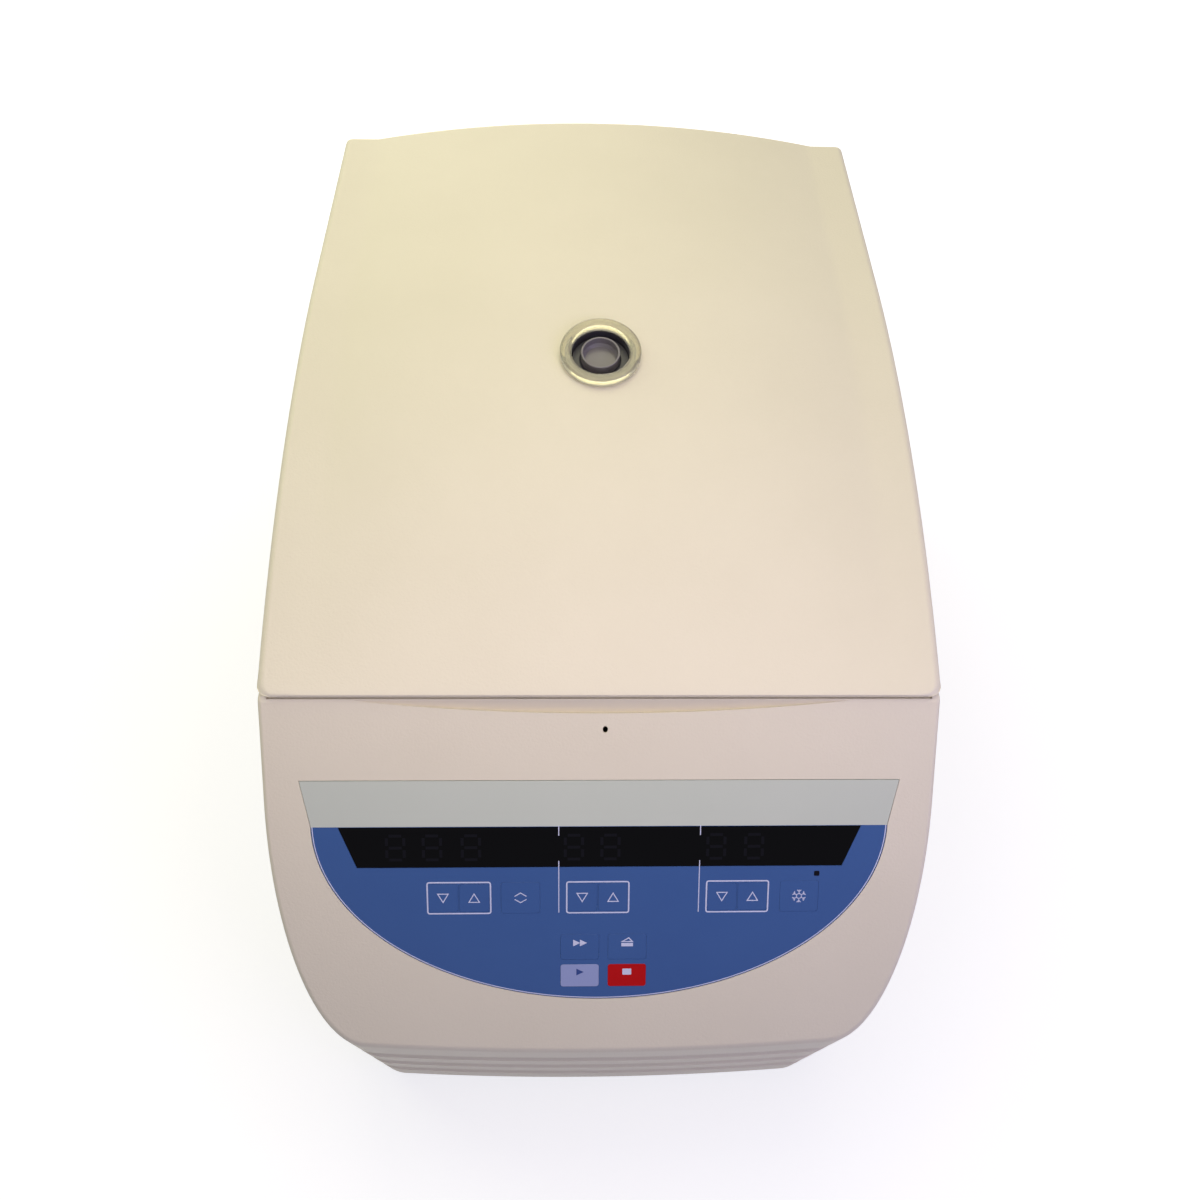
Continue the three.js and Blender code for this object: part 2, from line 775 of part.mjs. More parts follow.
const board = {
  half: film.bandHalf * boardHalfShare,
  top: 58,
  bottom: 136,
  thickness: 1.6,
  shoulderShare: 0.66,
  switchSide: 6,
};
const digits = { depth: 4.6, up: 60.2, down: 73.8, speedX: -72.8, timeX: -4.2, tempX: 58.3, wide: 46, narrow: 29 };

// The control board: twelve tact switches under the keys and three digit blocks behind the window.
function controlBoard() {
  let plate = prism(
    polygon([
      [-board.half, -board.top],
      [-board.half, -keyRows.arrows - menuKey.height / 2],
      [-board.half * board.shoulderShare, -board.bottom],
      [board.half * board.shoulderShare, -board.bottom],
      [board.half, -keyRows.arrows - menuKey.height / 2],
      [board.half, -board.top],
    ]),
    -boardDepth - board.thickness,
    -boardDepth,
  );
  for (const key of keys) {
    const half = board.switchSide / 2;
    plate = plate.add(
      block(
        [key.x - half, key.y - half, -boardDepth - board.thickness / 2],
        [key.x + half, key.y + half, -boardDepth + switchHeight],
      ),
    );
  }
  for (const [x, width] of [
    [digits.speedX, digits.wide],
    [digits.timeX, digits.narrow],
    [digits.tempX, digits.narrow],
  ]) {
    plate = plate.add(
      block(
        [x - width / 2, -digits.down, -boardDepth - board.thickness / 2],
        [x + width / 2, -digits.up, -boardDepth + digits.depth],
      ),
    );
  }
  return plate;
}

const bowlCorner = 14;
const bowlCornerSteps = 3;
const neckRadius = 20;

// The pressed bowl: a rolled flange on the deck, a straight wall, a round foot and a raised neck.
function chamberBowl() {
  const flangeZ = deckZ + fit;
  const outer = bowlRadius + bowlWall;
  const underZ = bowlFloorZ - bowlWall;
  const arc = (radius, reverse) => {
    const points = [];
    for (let i = 0; i <= bowlCornerSteps; i++) {
      const turn = (Math.PI / 2) * (i / bowlCornerSteps);
      const centre = bowlRadius - bowlCorner;
      points.push([centre + radius * Math.cos(turn), bowlFloorZ + bowlCorner - radius * Math.sin(turn)]);
    }
    return reverse ? points.reverse() : points;
  };
  const neckTop = bowlFloorZ + bowlCorner / 2;
  return revolved([
    [bowlRadius, flangeZ + flange.thickness],
    ...arc(bowlCorner, false),
    [neckRadius + bowlWall, bowlFloorZ],
    [neckRadius + bowlWall, neckTop],
    [neckRadius, neckTop],
    [neckRadius, underZ],
    ...arc(bowlCorner + bowlWall, true),
    [outer, flangeZ],
    [outer + flange.reach, flangeZ],
    [outer + flange.reach, flangeZ + flange.thickness],
  ]);
}

// The rubber ring on the bowl's flange that the lid's liner presses on.
function chamberSeal() {
  const top = sealLowZ + seal.beadHeight;
  const middle = (seal.inner + seal.outer) / 2;
  return revolved([
    [seal.inner, sealLowZ],
    [seal.outer, sealLowZ],
    [seal.outer, sealLowZ + seal.skirt],
    [middle + seal.skirt, top],
    [middle - seal.skirt, top],
    [seal.inner, sealLowZ + seal.skirt],
  ]);
}

const insulation = {
  outer: foamRadius,
  inner: foamRadius - foamThickness,
  bottomZ: bowlFloorZ - foamUnderBowl,
  boreRadius: 24,
};

function bowlInsulation() {
  const top = deckZ - wall - fit;
  return revolved([
    [insulation.inner, top],
    [insulation.inner, bowlFloorZ - bowlWall - fit],
    [insulation.boreRadius, bowlFloorZ - bowlWall - fit],
    [insulation.boreRadius, insulation.bottomZ],
    [insulation.outer, insulation.bottomZ],
    [insulation.outer, top],
  ]);
}

const coilRise = { low: 18, high: 86 };
const coil = { tube: 3, turns: 5, lowZ: bowlFloorZ + coilRise.low, highZ: bowlFloorZ + coilRise.high, stepsPerTurn: 20, halfSides: 3 };

// The evaporator: one copper tube wound round the bowl in a steady helix.
function evaporatorCoil() {
  const radius = (bowlRadius + bowlWall + fit + coil.tube) / Math.cos(Math.PI / coil.stepsPerTurn);
  class Helix extends THREE.Curve {
    getPoint(t, target = new THREE.Vector3()) {
      const turn = 2 * Math.PI * coil.turns * t;
      const z = coil.lowZ + (coil.highZ - coil.lowZ) * t;
      return target.set(radius * Math.cos(turn), radius * Math.sin(turn), z);
    }
  }
  return piped(new Helix(), coil.tube, coil.turns * coil.stepsPerTurn, coil.halfSides);
}

const neckRise = 4;
const motorDrop = 28;
const motor = {
  radius: 44,
  capRadius: 36,
  neckTopZ: bowlFloorZ + neckRise,
  bodyTopZ: bowlFloorZ - motorDrop,
  plateZ: 28,
  plateThickness: 3,
  plateHalfX: 72,
  plateHalfY: 58,
  rib: 3,
};

// The drive motor: a finned can with a neck that carries the top bearing through the bowl's floor.
function driveMotor() {
  const low = motor.plateZ + motor.plateThickness + fit;
  const bore = spindleRadius + fit;
  const boreFloor = low + motor.capRadius;
  const profile = [
    [0, low],
    [motor.radius, low],
    [motor.radius, low + 2 * motor.rib],
  ];
  const finTop = motor.bodyTopZ - 4 * motor.rib;
  for (let z = low + 3 * motor.rib; z + 2 * motor.rib < finTop; z += 4 * motor.rib) {
    profile.push(
      [motor.radius - motor.rib, z],
      [motor.radius - motor.rib, z + motor.rib],
      [motor.radius, z + 2 * motor.rib],
    );
  }
  profile.push(
    [motor.radius, finTop],
    [motor.capRadius, motor.bodyTopZ],
    [neckRadius - motor.rib, motor.bodyTopZ],
    [neckRadius - motor.rib, motor.neckTopZ],
    [bore, motor.neckTopZ],
    [bore, boreFloor],
    [0, boreFloor],
  );
  return revolved(profile, midSides);
}

const isolator = { radius: 10, waist: 7.5, circle: 52 };

function motorPlate() {
  return prism(
    roundedRectangle(-motor.plateHalfX, motor.plateHalfX, -motor.plateHalfY, motor.plateHalfY, isolator.radius),
    motor.plateZ,
    motor.plateZ + motor.plateThickness,
    inPlace,
    smallCornerSteps,
  );
}

// A rubber mount between the floor and the motor plate, waisted so that it flexes.
function motorIsolator() {
  const top = motor.plateZ - fit;
  const middle = (seatZ + top) / 2;
  return revolved(
    [
      [0, seatZ],
      [isolator.radius, seatZ],
      [isolator.waist, middle],
      [isolator.radius, top],
      [0, top],
    ],
    smallSides,
  );
}

const compressor = {
  x: insets.compressor - halfWidth,
  y: frontY + fromNose.compressor,
  radius: 54,
  seamReach: 3,
  seamHeight: 4,
  bottomZ: 26,
  shoulder: 16,
  seamZ: 84,
  topZ: 130,
  crownShare: 0.55,
  footPlate: 3,
  footHalfX: 58,
  footHalfY: 50,
  grommet: 8,
  stubRadius: 3.2,
  stubLength: 16,
};

// The hermetic compressor: two welded shell halves on a foot plate with four rubber grommets.
function compressorCan() {
  const { radius, bottomZ, shoulder, seamZ, seamHeight, seamReach, topZ, crownShare } = compressor;
  const shell = revolved(
    [
      [0, bottomZ],
      [radius * crownShare, bottomZ],
      [radius, bottomZ + shoulder],
      [radius, seamZ],
      [radius + seamReach, seamZ],
      [radius + seamReach, seamZ + seamHeight],
      [radius, seamZ + seamHeight],
      [radius, topZ - shoulder - shoulder],
      [radius * (1 + crownShare) / 2, topZ - shoulder / 2],
      [radius * crownShare / 2, topZ],
      [0, topZ],
    ],
    midSides,
  );
  const { footHalfX, footHalfY, footPlate, grommet } = compressor;
  let can = shell.add(
    prism(
      roundedRectangle(-footHalfX, footHalfX, -footHalfY, footHalfY, grommet),
      bottomZ - footPlate,
      bottomZ + fit,
      inPlace,
      smallCornerSteps,
    ),
  );
  for (const across of [-1, 1]) {
    for (const along of [-1, 1]) {
      const place = [across * (footHalfX - grommet), along * (footHalfY - grommet)];
      can = can.add(rod(grommet, place, seatZ, bottomZ - footPlate / 2));
    }
  }
  const stubY = radius * crownShare;
  return can.add(
    rod(compressor.stubRadius, [0, stubY], topZ - shoulder, topZ + compressor.stubLength, smallSides),
  );
}

const condenser = {
  xLow: halfWidth - insets.condenserInner,
  xHigh: halfWidth - insets.condenserOuter,
  yLow: frontY + fromNose.condenserNear,
  yHigh: frontY + fromNose.condenserFar,
  height: 96,
  plate: 2,
  finDepth: 5,
  finPitch: 6.5,
  finGap: 3.2,
};

// The condenser: a block of fins between two end plates, grooved on both faces.
function condenserCore() {
  const top = seatZ + condenser.height;
  let core = block([condenser.xLow, condenser.yLow, seatZ], [condenser.xHigh, condenser.yHigh, top]);
  const firstY = condenser.yLow + condenser.plate;
  for (let y = firstY; y + condenser.finPitch < condenser.yHigh; y += condenser.finPitch) {
    for (const face of [condenser.xLow, condenser.xHigh]) {
      core = core.subtract(
        block(
          [face - condenser.finDepth, y, seatZ + condenser.plate],
          [face + condenser.finDepth, y + condenser.finGap, top - condenser.plate],
        ),
      );
    }
  }
  return core;
}

const fan = {
  side: 92,
  depth: 25,
  y: (condenser.yLow + condenser.yHigh) / 2,
  gapToCondenser: 3,
  boreRadius: 42.5,
  hubRadius: 17,
  bladeClearance: 1.5,
  strutWidth: 4,
  strutDepth: 3,
  motorRadius: 15,
  motorDepth: 5,
  blades: 7,
  bladeThickness: 1.8,
  rootTurnShare: 0.23,
  tipTurnShare: 0.36,
  pin: 2,
  cornerHole: 2.2,
};
const fanX = condenser.xLow - fan.gapToCondenser - fan.depth;
const fanZ = seatZ + fan.side / 2;
const fanFrame = new THREE.Matrix4().makeTranslation(fanX, fan.y, fanZ).multiply(alongX);

// The fan's square frame, drawn about its own axis: a round duct, four corner holes and a hub on struts.
function fanHousing() {
  const half = fan.side / 2;
  const cornerPlace = half - fan.strutWidth;
  let frame = prism(roundedRectangle(-half, half, -half, half, fan.strutWidth), 0, fan.depth, inPlace, smallCornerSteps);
  frame = frame.subtract(rod(fan.boreRadius, [0, 0], -overrun, fan.depth + overrun, bigSides));
  for (const across of [-1, 1]) {
    for (const up of [-1, 1]) {
      const place = [across * cornerPlace, up * cornerPlace];
      frame = frame.subtract(rod(fan.cornerHole, place, -overrun, fan.depth + overrun, smallSides / 2));
    }
  }
  const reach = fan.boreRadius + fit;
  const across = block([-reach, -fan.strutWidth / 2, 0], [reach, fan.strutWidth / 2, fan.strutDepth]);
  const up = block([-fan.strutWidth / 2, -reach, 0], [fan.strutWidth / 2, reach, fan.strutDepth]);
  return joined(
    frame,
    across,
    up,
    rod(fan.motorRadius, [0, 0], 0, fan.motorDepth, midSides),
    rod(fan.pin, [0, 0], fan.motorDepth - fit, fan.depth - fan.motorDepth, smallSides),
  );
}

// The fan's impeller: a cupped hub on the motor's pin with pitched blades lofted from root to tip.
function fanImpeller() {
  const low = fan.motorDepth + fan.strutDepth;
  const high = fan.depth - fan.bladeClearance;
  const tip = fan.boreRadius - fan.bladeClearance;
  let wheel = revolved(
    [
      [fan.pin + fit, low],
      [fan.hubRadius, low],
      [fan.hubRadius, high - fan.bladeClearance],
      [fan.hubRadius - fan.bladeClearance, high],
      [0, high],
      [0, fan.depth - fan.motorDepth + fit],
      [fan.pin + fit, fan.depth - fan.motorDepth + fit],
    ],
    midSides,
  );
  const station = (radius, turnShare, start) => {
    const turn = (2 * Math.PI * turnShare) / fan.blades;
    const along = (angle, z) => {
      const total = start + angle;
      return new THREE.Vector3(radius * Math.cos(total), radius * Math.sin(total), z);
    };
    const thin = fan.bladeThickness / radius;
    const bladeLow = low + fan.bladeClearance;
    const bladeHigh = high - fan.bladeClearance;
    return [along(-turn, bladeLow), along(thin - turn, bladeLow), along(turn + thin, bladeHigh), along(turn, bladeHigh)];
  };
  for (let i = 0; i < fan.blades; i++) {
    const start = (2 * Math.PI * i) / fan.blades;
    const root = station(fan.hubRadius - fan.bladeThickness, fan.rootTurnShare, start);
    const end = station(tip, fan.tipTurnShare, start);
    const sideways = new THREE.Vector3(-Math.sin(start), Math.cos(start), 0);
    const flatten = (point) => new THREE.Vector2(point.dot(sideways), point.z);
    wheel = wheel.add(lofted([root, end], flatten));
  }
  return wheel;
}

const line = { radius: 3, rise: 10, steps: 24, halfSides: 4 };

// The hot gas line from the compressor's stub over the fan to the condenser's top.
function dischargeLine() {
  const stubY = compressor.y + compressor.radius * compressor.crownShare;
  const startZ = compressor.topZ + compressor.stubLength + fit;
  const coreX = (condenser.xLow + condenser.xHigh) / 2;
  const coreZ = seatZ + condenser.height + fit;
  const crossZ = startZ + line.rise;
  const corner = 2 * line.rise;
  const curve = new THREE.CatmullRomCurve3([
    new THREE.Vector3(compressor.x, stubY, startZ),
    new THREE.Vector3(compressor.x, stubY, startZ + line.rise / 2),
    new THREE.Vector3(compressor.x + corner, stubY, crossZ),
    new THREE.Vector3(fanX, stubY, crossZ),
    new THREE.Vector3(coreX, stubY, coreZ + corner),
    new THREE.Vector3(coreX, stubY, coreZ + line.rise),
    new THREE.Vector3(coreX, stubY, coreZ),
  ]);
  return piped(curve, line.radius, line.steps, line.halfSides);
}

const power = {
  x: insets.powerBoard - halfWidth,
  thickness: 1.6,
  yLow: rearY - fromRear.powerNear,
  yHigh: rearY - fromRear.powerFar,
  height: 84,
  blockDepth: 26,
  blockWidth: 40,
  blockHeight: 34,
  finDepth: 22,
  finThickness: 2.4,
  finPitch: 6,
  finCount: 6,
  capRadius: 9,
  capLength: 24,
  capPitch: 22,
  margin: 10,
};

// The power board: a transformer block, a finned heat sink and two capacitors on an upright card.
function powerBoard() {
  const { x, thickness, yLow, yHigh, height, margin } = power;
  const face = x + thickness;
  let card = block([x, yLow, seatZ], [face, yHigh, seatZ + height]);
  const overlap = thickness / 2;
  card = card.add(
    block(
      [face - overlap, yLow + margin, seatZ + margin],
      [face + power.blockDepth, yLow + margin + power.blockWidth, seatZ + margin + power.blockHeight],
    ),
  );
  const sinkY = yLow + margin + power.blockWidth + margin;
  const sinkLength = power.finPitch * power.finCount;
  card = card.add(
    block(
      [face - overlap, sinkY, seatZ + margin],
      [face + margin / 2, sinkY + sinkLength, seatZ + height - margin],
    ),
  );
  for (let i = 0; i < power.finCount; i++) {
    const y = sinkY + power.finPitch * i;
    card = card.add(
      block(
        [face + margin / 4, y, seatZ + margin],
        [face + power.finDepth, y + power.finThickness, seatZ + height - margin],
      ),
    );
  }
  for (const step of [0, 1]) {
    const place = [yHigh - margin - power.capRadius, seatZ + margin + power.capRadius + step * power.capPitch];
    card = card.add(rod(power.capRadius, place, face - overlap, face + power.capLength, smallSides, alongX));
  }
  return card;
}

const pins = { depth: 24, wall: 1.6, length: 15, thickness: 2, height: 4, spread: 7, drop: 2, base: 3 };

// The appliance inlet: a flanged socket shell with three flat pins standing in its cavity.
function mainsInlet() {
  const { x, z, width, height, flangeWidth, flangeHeight, flangeThickness } = inlet;
  const outline = (wide, high, round) =>
    roundedRectangle(z - high / 2, z + high / 2, x - wide / 2, x + wide / 2, round);
  const back = rearY - pins.depth;
  const shell = prism(outline(width, height, pins.wall), back, rearY + fit + fit, alongY, smallCornerSteps).add(
    prism(outline(flangeWidth, flangeHeight, pins.wall), rearY + fit, rearY + fit + flangeThickness, alongY, smallCornerSteps),
  );
  const hollow = prism(
    outline(width - 2 * pins.wall, height - 2 * pins.wall, pins.wall),
    back + pins.base,
    rearY + flangeThickness + overrun,
    alongY,
    smallCornerSteps,
  );
  const pin = (across, up) =>
    prism(
      rectangle(
        z + up - pins.height / 2,
        z + up + pins.height / 2,
        x + across - pins.thickness / 2,
        x + across + pins.thickness / 2,
      ),
      back + pins.base - fit,
      back + pins.base + pins.length,
      alongY,
    );
  return joined(
    shell.subtract(hollow),
    pin(-pins.spread, -pins.drop),
    pin(pins.spread, -pins.drop),
    pin(0, pins.drop),
  );
}

const rocker = { depth: 18, wall: 1.3, bodyDepth: 12, pinRadius: 1.5, proud: 2.6 };
const rockerAngle = THREE.MathUtils.degToRad(9);
const rockerAxisY = rearY - rocker.bodyDepth / 2;

// The mains switch's frame: a flanged well, open at the rear, with a bore for the rocker's pivot.
function switchFrame() {
  const { x, z, width, height, flange: lip, flangeThickness } = mainsSwitch;
  const outline = (wide, high) => rectangle(z - high / 2, z + high / 2, x - wide / 2, x + wide / 2);
  const back = rearY - rocker.depth;
  const shell = prism(outline(width, height), back, rearY + fit + fit, alongY).add(
    prism(outline(width + 2 * lip, height + 2 * lip), rearY + fit, rearY + fit + flangeThickness, alongY),
  );
  return trimmed(
    shell,
    prism(
      outline(width - 2 * rocker.wall, height - 2 * rocker.wall),
      back + rocker.wall,
      rearY + flangeThickness + overrun,
      alongY,
    ),
    rod(rocker.pinRadius + fit, [rockerAxisY, z], x - width, x + width, smallSides, alongX),
  );
}

// The rocker, drawn about its pivot: two faces that meet in a shallow valley, on a cross pin.
function powerRocker() {
  const halfHeight = mainsSwitch.height / 2 - rocker.wall - 3 * fit;
  const halfAcross = mainsSwitch.width / 2 - rocker.wall - fit;
  const face = rearY - rockerAxisY + mainsSwitch.flangeThickness;
  const outline = polygon([
    [-rocker.pinRadius - fit, -halfHeight / 3],
    [-rocker.pinRadius - fit, halfHeight / 3],
    [face / 3, halfHeight - rocker.wall],
    [face + rocker.proud / 2, halfHeight - rocker.wall / 2],
    [face - rocker.wall, 0],
    [face + rocker.proud / 2, -halfHeight + rocker.wall / 2],
    [face / 3, -halfHeight + rocker.wall],
  ]);
  const pinReach = mainsSwitch.width / 2 - fit;
  return prism(outline, -halfAcross, halfAcross, alongX).add(
    rod(rocker.pinRadius, [0, 0], -pinReach, pinReach, smallSides, alongX),
  );
}

const grille = { frame: 7, slatPitch: 8, slatGap: 4, lip: 4, lipThickness: 1.6 };

// The rear vent panel: a flush frame with level slats and a thin lip behind the wall.
function rearGrille() {
  const { xLow, xHigh, zLow, zHigh } = rearOpening;
  const panel = prism(
    rectangle(zLow + fit, zHigh - fit, xLow + fit, xHigh - fit),
    rearY - wall - fit - grille.lipThickness,
    rearY - fit,
    alongY,
  );
  const lip = prism(
    rectangle(zLow - grille.lip, zHigh + grille.lip, xLow - grille.lip, xHigh + grille.lip),
    rearY - wall - fit - grille.lipThickness,
    rearY - wall - fit,
    alongY,
  );
  let vent = panel.add(lip);
  for (let z = zLow + grille.frame; z + grille.slatGap < zHigh - grille.frame; z += grille.slatPitch) {
    vent = vent.subtract(
      block(
        [xLow + grille.frame, rearY - wall - overrun, z],
        [xHigh - grille.frame, rearY + overrun, z + grille.slatGap],
      ),
    );
  }
  return vent;
}

// The lock's frame: a tray hung under the deck by two cheeks that carry the shaft, with its motor below.
function lockFrame() {
  const { cheekX, cheekThickness, trayZ, trayThickness, frameFrontY, frameRearY, axisY, axisZ } = lock;
  const outer = cheekX + cheekThickness;
  const tray = block([-outer, frameFrontY, trayZ], [outer, frameRearY, trayZ + trayThickness]);
  const cheeks = [-1, 1].map((side) => {
    const [low, high] = [side * cheekX, side * outer].sort((a, b) => a - b);
    return block([low, frameFrontY, trayZ], [high, frameRearY, deckZ - wall - fit]);
  });
  const motorRadius = (frameRearY - frameFrontY) / 2;
  const drive = rod(motorRadius, [(frameFrontY + frameRearY) / 2, trayZ - motorRadius / 2], -outer / 2, outer / 2, smallSides, alongX);
  const bore = rod(lock.shaftRadius + fit, [axisY, axisZ], -outer - overrun, outer + overrun, smallSides, alongX);
  return joined(tray, ...cheeks, drive).subtract(bore);
}

// The lock's shaft, drawn about its axis in the latched position: two hooks whose noses reach forward.
function lockShaft() {
  const { shaftRadius, cheekX, cheekThickness, armHalf, noseLow, noseHigh, noseReach, hookWidth } = lock;
  const end = cheekX + cheekThickness;
  const hook = polygon([
    [-armHalf, 0],
    [armHalf, 0],
    [armHalf, noseHigh - armHalf / 2],
    [armHalf / 2, noseHigh],
    [-noseReach + armHalf / 2, noseHigh],
    [-noseReach, noseLow + armHalf / 2],
    [-noseReach, noseLow],
    [-armHalf, noseLow],
  ]);
  return joined(
    rod(shaftRadius, [0, 0], -end, end, smallSides, alongX),
    ...[-1, 1].map((side) => {
      const middle = side * striker.x;
      return prism(hook, middle - hookWidth / 2, middle + hookWidth / 2, alongX);
    }),
  );
}

const hinge = {
  pinRadius: 2,
  barrelRadius: 4.2,
  earRadius: 4.6,
  earThickness: 3,
  armHalf: 9,
  baseHalf: 22,
  baseThickness: 2.5,
  baseFrontY: rearY - fromRear.hingeBase,
  notchHalf: 24,
  notchRise: 7,
  tongueLength: 44,
  tongueThickness: 2.6,
};

// A hinge bracket, drawn about its station: a foot on the deck and two ears for the rod.
function hingeBracket() {
  const low = deckZ + fit;
  const base = block(
    [-hinge.baseHalf, hinge.baseFrontY, low],
    [hinge.baseHalf, hingeY + hinge.earRadius, low + hinge.baseThickness],
  );
  const profile = new THREE.Shape();
  profile.moveTo(hingeY - 2 * hinge.earRadius, low + hinge.baseThickness / 2);
  profile.lineTo(hingeY + hinge.earRadius, low + hinge.baseThickness / 2);
  profile.absarc(hingeY, hingeZ, hinge.earRadius, 0, 0.75 * Math.PI);
  profile.closePath();
  const ears = [-1, 1].map((side) => {
    const inner = side * (hinge.armHalf + fit + fit);
    const outer = inner + side * hinge.earThickness;
    return prism(profile, Math.min(inner, outer), Math.max(inner, outer), alongX);
  });
  return joined(base, ...ears).subtract(
    rod(hinge.pinRadius + fit, [hingeY, hingeZ], -bodyWidth, bodyWidth, smallSides, alongX),
  );
}

function hingeRod() {
  const reach = hingeStationX + hinge.baseHalf;
  return rod(hinge.pinRadius, [hingeY, hingeZ], -reach, reach, smallSides, alongX);
}

// Lid pieces

// The hinge arm, drawn about its station: a barrel on the rod and a tongue over the liner.
function hingeArm() {
  const tongueZ = linerZ + linerThickness + fit;
  const barrel = rod(hinge.barrelRadius, [hingeY, hingeZ], -hinge.armHalf, hinge.armHalf, midSides, alongX);
  const tongue = block(
    [-hinge.armHalf, hingeY - hinge.tongueLength, tongueZ],
    [hinge.armHalf, hingeY, tongueZ + hinge.tongueThickness],
  );
  return barrel
    .add(tongue)
    .subtract(rod(hinge.pinRadius + fit, [hingeY, hingeZ], -bodyWidth, bodyWidth, smallSides, alongX));
}

function lidCover() {
  let cover = lidForm().subtract(lidCavity());
  cover = cover.subtract(
    rod(sight.wellOuter + fit, [0, 0], -lidWall * 4, overrun * 2, midSides, sightFrame),
  );
  for (const side of [-1, 1]) {
    const station = side * hingeStationX;
    const middle = side * striker.x;
    const pocketTop = lidBottomZ + striker.pocketDepth;
    cover = trimmed(
      cover,
      block(
        [station - hinge.notchHalf, rearY - lidWall - overrun, lidBottomZ - overrun],
        [station + hinge.notchHalf, rearY + overrun, hingeZ + hinge.notchRise],
      ),
      block(
        [middle - striker.width / 2 - fit, striker.y - striker.thickness / 2 - fit, lidBottomZ - overrun],
        [middle + striker.width / 2 + fit, striker.y + striker.thickness / 2 + fit, pocketTop],
      ),
    );
  }
  return cover;
}

const linerRearGap = 12;
const linerRound = 8;

// The lid's inner pan: a flat plate with a bead that meets the chamber's seal.
function lidLiner() {
  const side = halfWidth - lidWall - fit;
  const front = seamY + lidFrontBar + fit;
  const plate = prism(
    roundedRectangle(-side, side, front, hingeY - linerRearGap, linerRound),
    linerZ,
    linerZ + linerThickness,
    inPlace,
    smallCornerSteps,
  );
  const atRotor = new THREE.Matrix4().makeTranslation(0, rotorY, 0);
  const bead = revolved(
    [
      [linerBead.inner, linerZ - linerBead.drop],
      [linerBead.outer, linerZ - linerBead.drop],
      [linerBead.outer, linerZ + fit],
      [linerBead.inner, linerZ + fit],
    ],
    bigSides,
    atRotor,
  );
  return plate
    .add(bead)
    .subtract(rod(sight.wellOuter + fit, [0, 0], linerZ - sightZ - 2 * overrun, 0, midSides, sightFrame));
}

const lidFoam = { sideRoom: 4, thickness: 7, bore: 24 };

function lidInsulation() {
  const low = linerZ + linerThickness + fit;
  return revolved([
    [lidFoam.bore, low],
    [(bowlRadius - lidFoam.sideRoom), low],
    [(bowlRadius - lidFoam.sideRoom), low + lidFoam.thickness],
    [lidFoam.bore, low + lidFoam.thickness],
  ]);
}

// The sight window's well: a dark tube through the lid with a ledge for the cup.
function windowWell() {
  const bottom = linerZ - sightZ - fit;
  const ledge = -sight.ledgeDrop;
  return revolved(
    [
      [sight.wellInner, 0],
      [sight.wellInner, ledge],
      [sight.wellInner - sight.ledgeWidth, ledge],
      [sight.wellInner - sight.ledgeWidth, ledge - sight.ledgeWidth],
      [sight.wellInner, ledge - 2 * sight.ledgeWidth],
      [sight.wellInner, bottom],
      [sight.wellOuter, bottom],
      [sight.wellOuter, 0],
    ],
    midSides,
  );
}

const ringSeat = 0.5;

// The clear ring that trims the window on the lid's surface, rounded on top.
function windowRing() {
  const { ringOuter, ringInner, ringHeight } = sight;
  const round = ringHeight / 3;
  return revolved(
    [
      [ringInner, ringSeat],
      [ringOuter, ringSeat],
      [ringOuter, ringSeat + ringHeight - 2 * round],
      [ringOuter - round / 2, ringSeat + ringHeight - round / 2],
      [ringOuter - round, ringSeat + ringHeight],
      [ringInner + round, ringSeat + ringHeight],
      [ringInner + round / 2, ringSeat + ringHeight - round / 2],
      [ringInner, ringSeat + ringHeight - 2 * round],
    ],
    midSides,
  );
}

// The clear cup in the middle of the window, held by a thin flange on the well's ledge.
function windowCup() {
  const { cupOuter, cupWall, cupDepth, cupFloor, ledgeDrop, ledgeWidth, wellInner } = sight;
  const low = -ledgeDrop + fit;
  const flangeTop = low + ledgeWidth / 2;
  const top = low + cupDepth;
  return revolved(
    [
      [0, low],
      [wellInner - fit, low],
      [wellInner - fit, flangeTop],
      [cupOuter, flangeTop],
      [cupOuter, top],
      [cupOuter - cupWall, top],
      [cupOuter - cupWall - cupWall / 2, low + cupFloor],
      [0, low + cupFloor],
    ],
    midSides,
  );
}

// A striker: a steel plate held in the lid's front bar, with a lip that the lock's hook pulls down.
function strikerPlate() {
  const front = striker.y - striker.thickness / 2;
  const rear = striker.y + striker.thickness / 2;
  const top = lidBottomZ + striker.pocketDepth - fit;
  const outline = polygon([
    [front, striker.bottomZ],
    [rear + striker.lipLength, striker.bottomZ],
    [rear + striker.lipLength, striker.bottomZ + striker.lipHeight],
    [rear, striker.bottomZ + striker.lipHeight],
    [rear, top],
    [front, top],
  ]);
  return prism(outline, -striker.width / 2, striker.width / 2, alongX);
}

// Rotor pieces, drawn about the spindle with the rotor's base at zero

const socketTilt = Math.PI / 4;
const rotorShares = {
  rimInner: 0.7356,
  rimOuter: 0.9195,
  socketRing: 0.5747,
  socketDepth: 0.4368,
  hub: 0.2989,
  undercutInner: 0.3908,
  undercutOuter: 0.6897,
  capEdge: 0.9425,
};
const rotorRim = {
  inner: rotorRadius * rotorShares.rimInner,
  outer: rotorRadius * rotorShares.rimOuter,
  chamfer: 6,
};
const socketRing = { radius: rotorRadius * rotorShares.socketRing, pitch: 17.4, sink: 1 };
const socket = {
  count: Math.floor((2 * Math.PI * socketRing.radius) / socketRing.pitch),
  radius: 5.6,
  depth: rotorRadius * rotorShares.socketDepth,
  tip: 3.4,
  tipLength: 5,
  mouthHeight: rotorHeight - (rotorRim.inner - socketRing.radius) * Math.tan(socketTilt) - socketRing.sink,
  sides: 12,
};
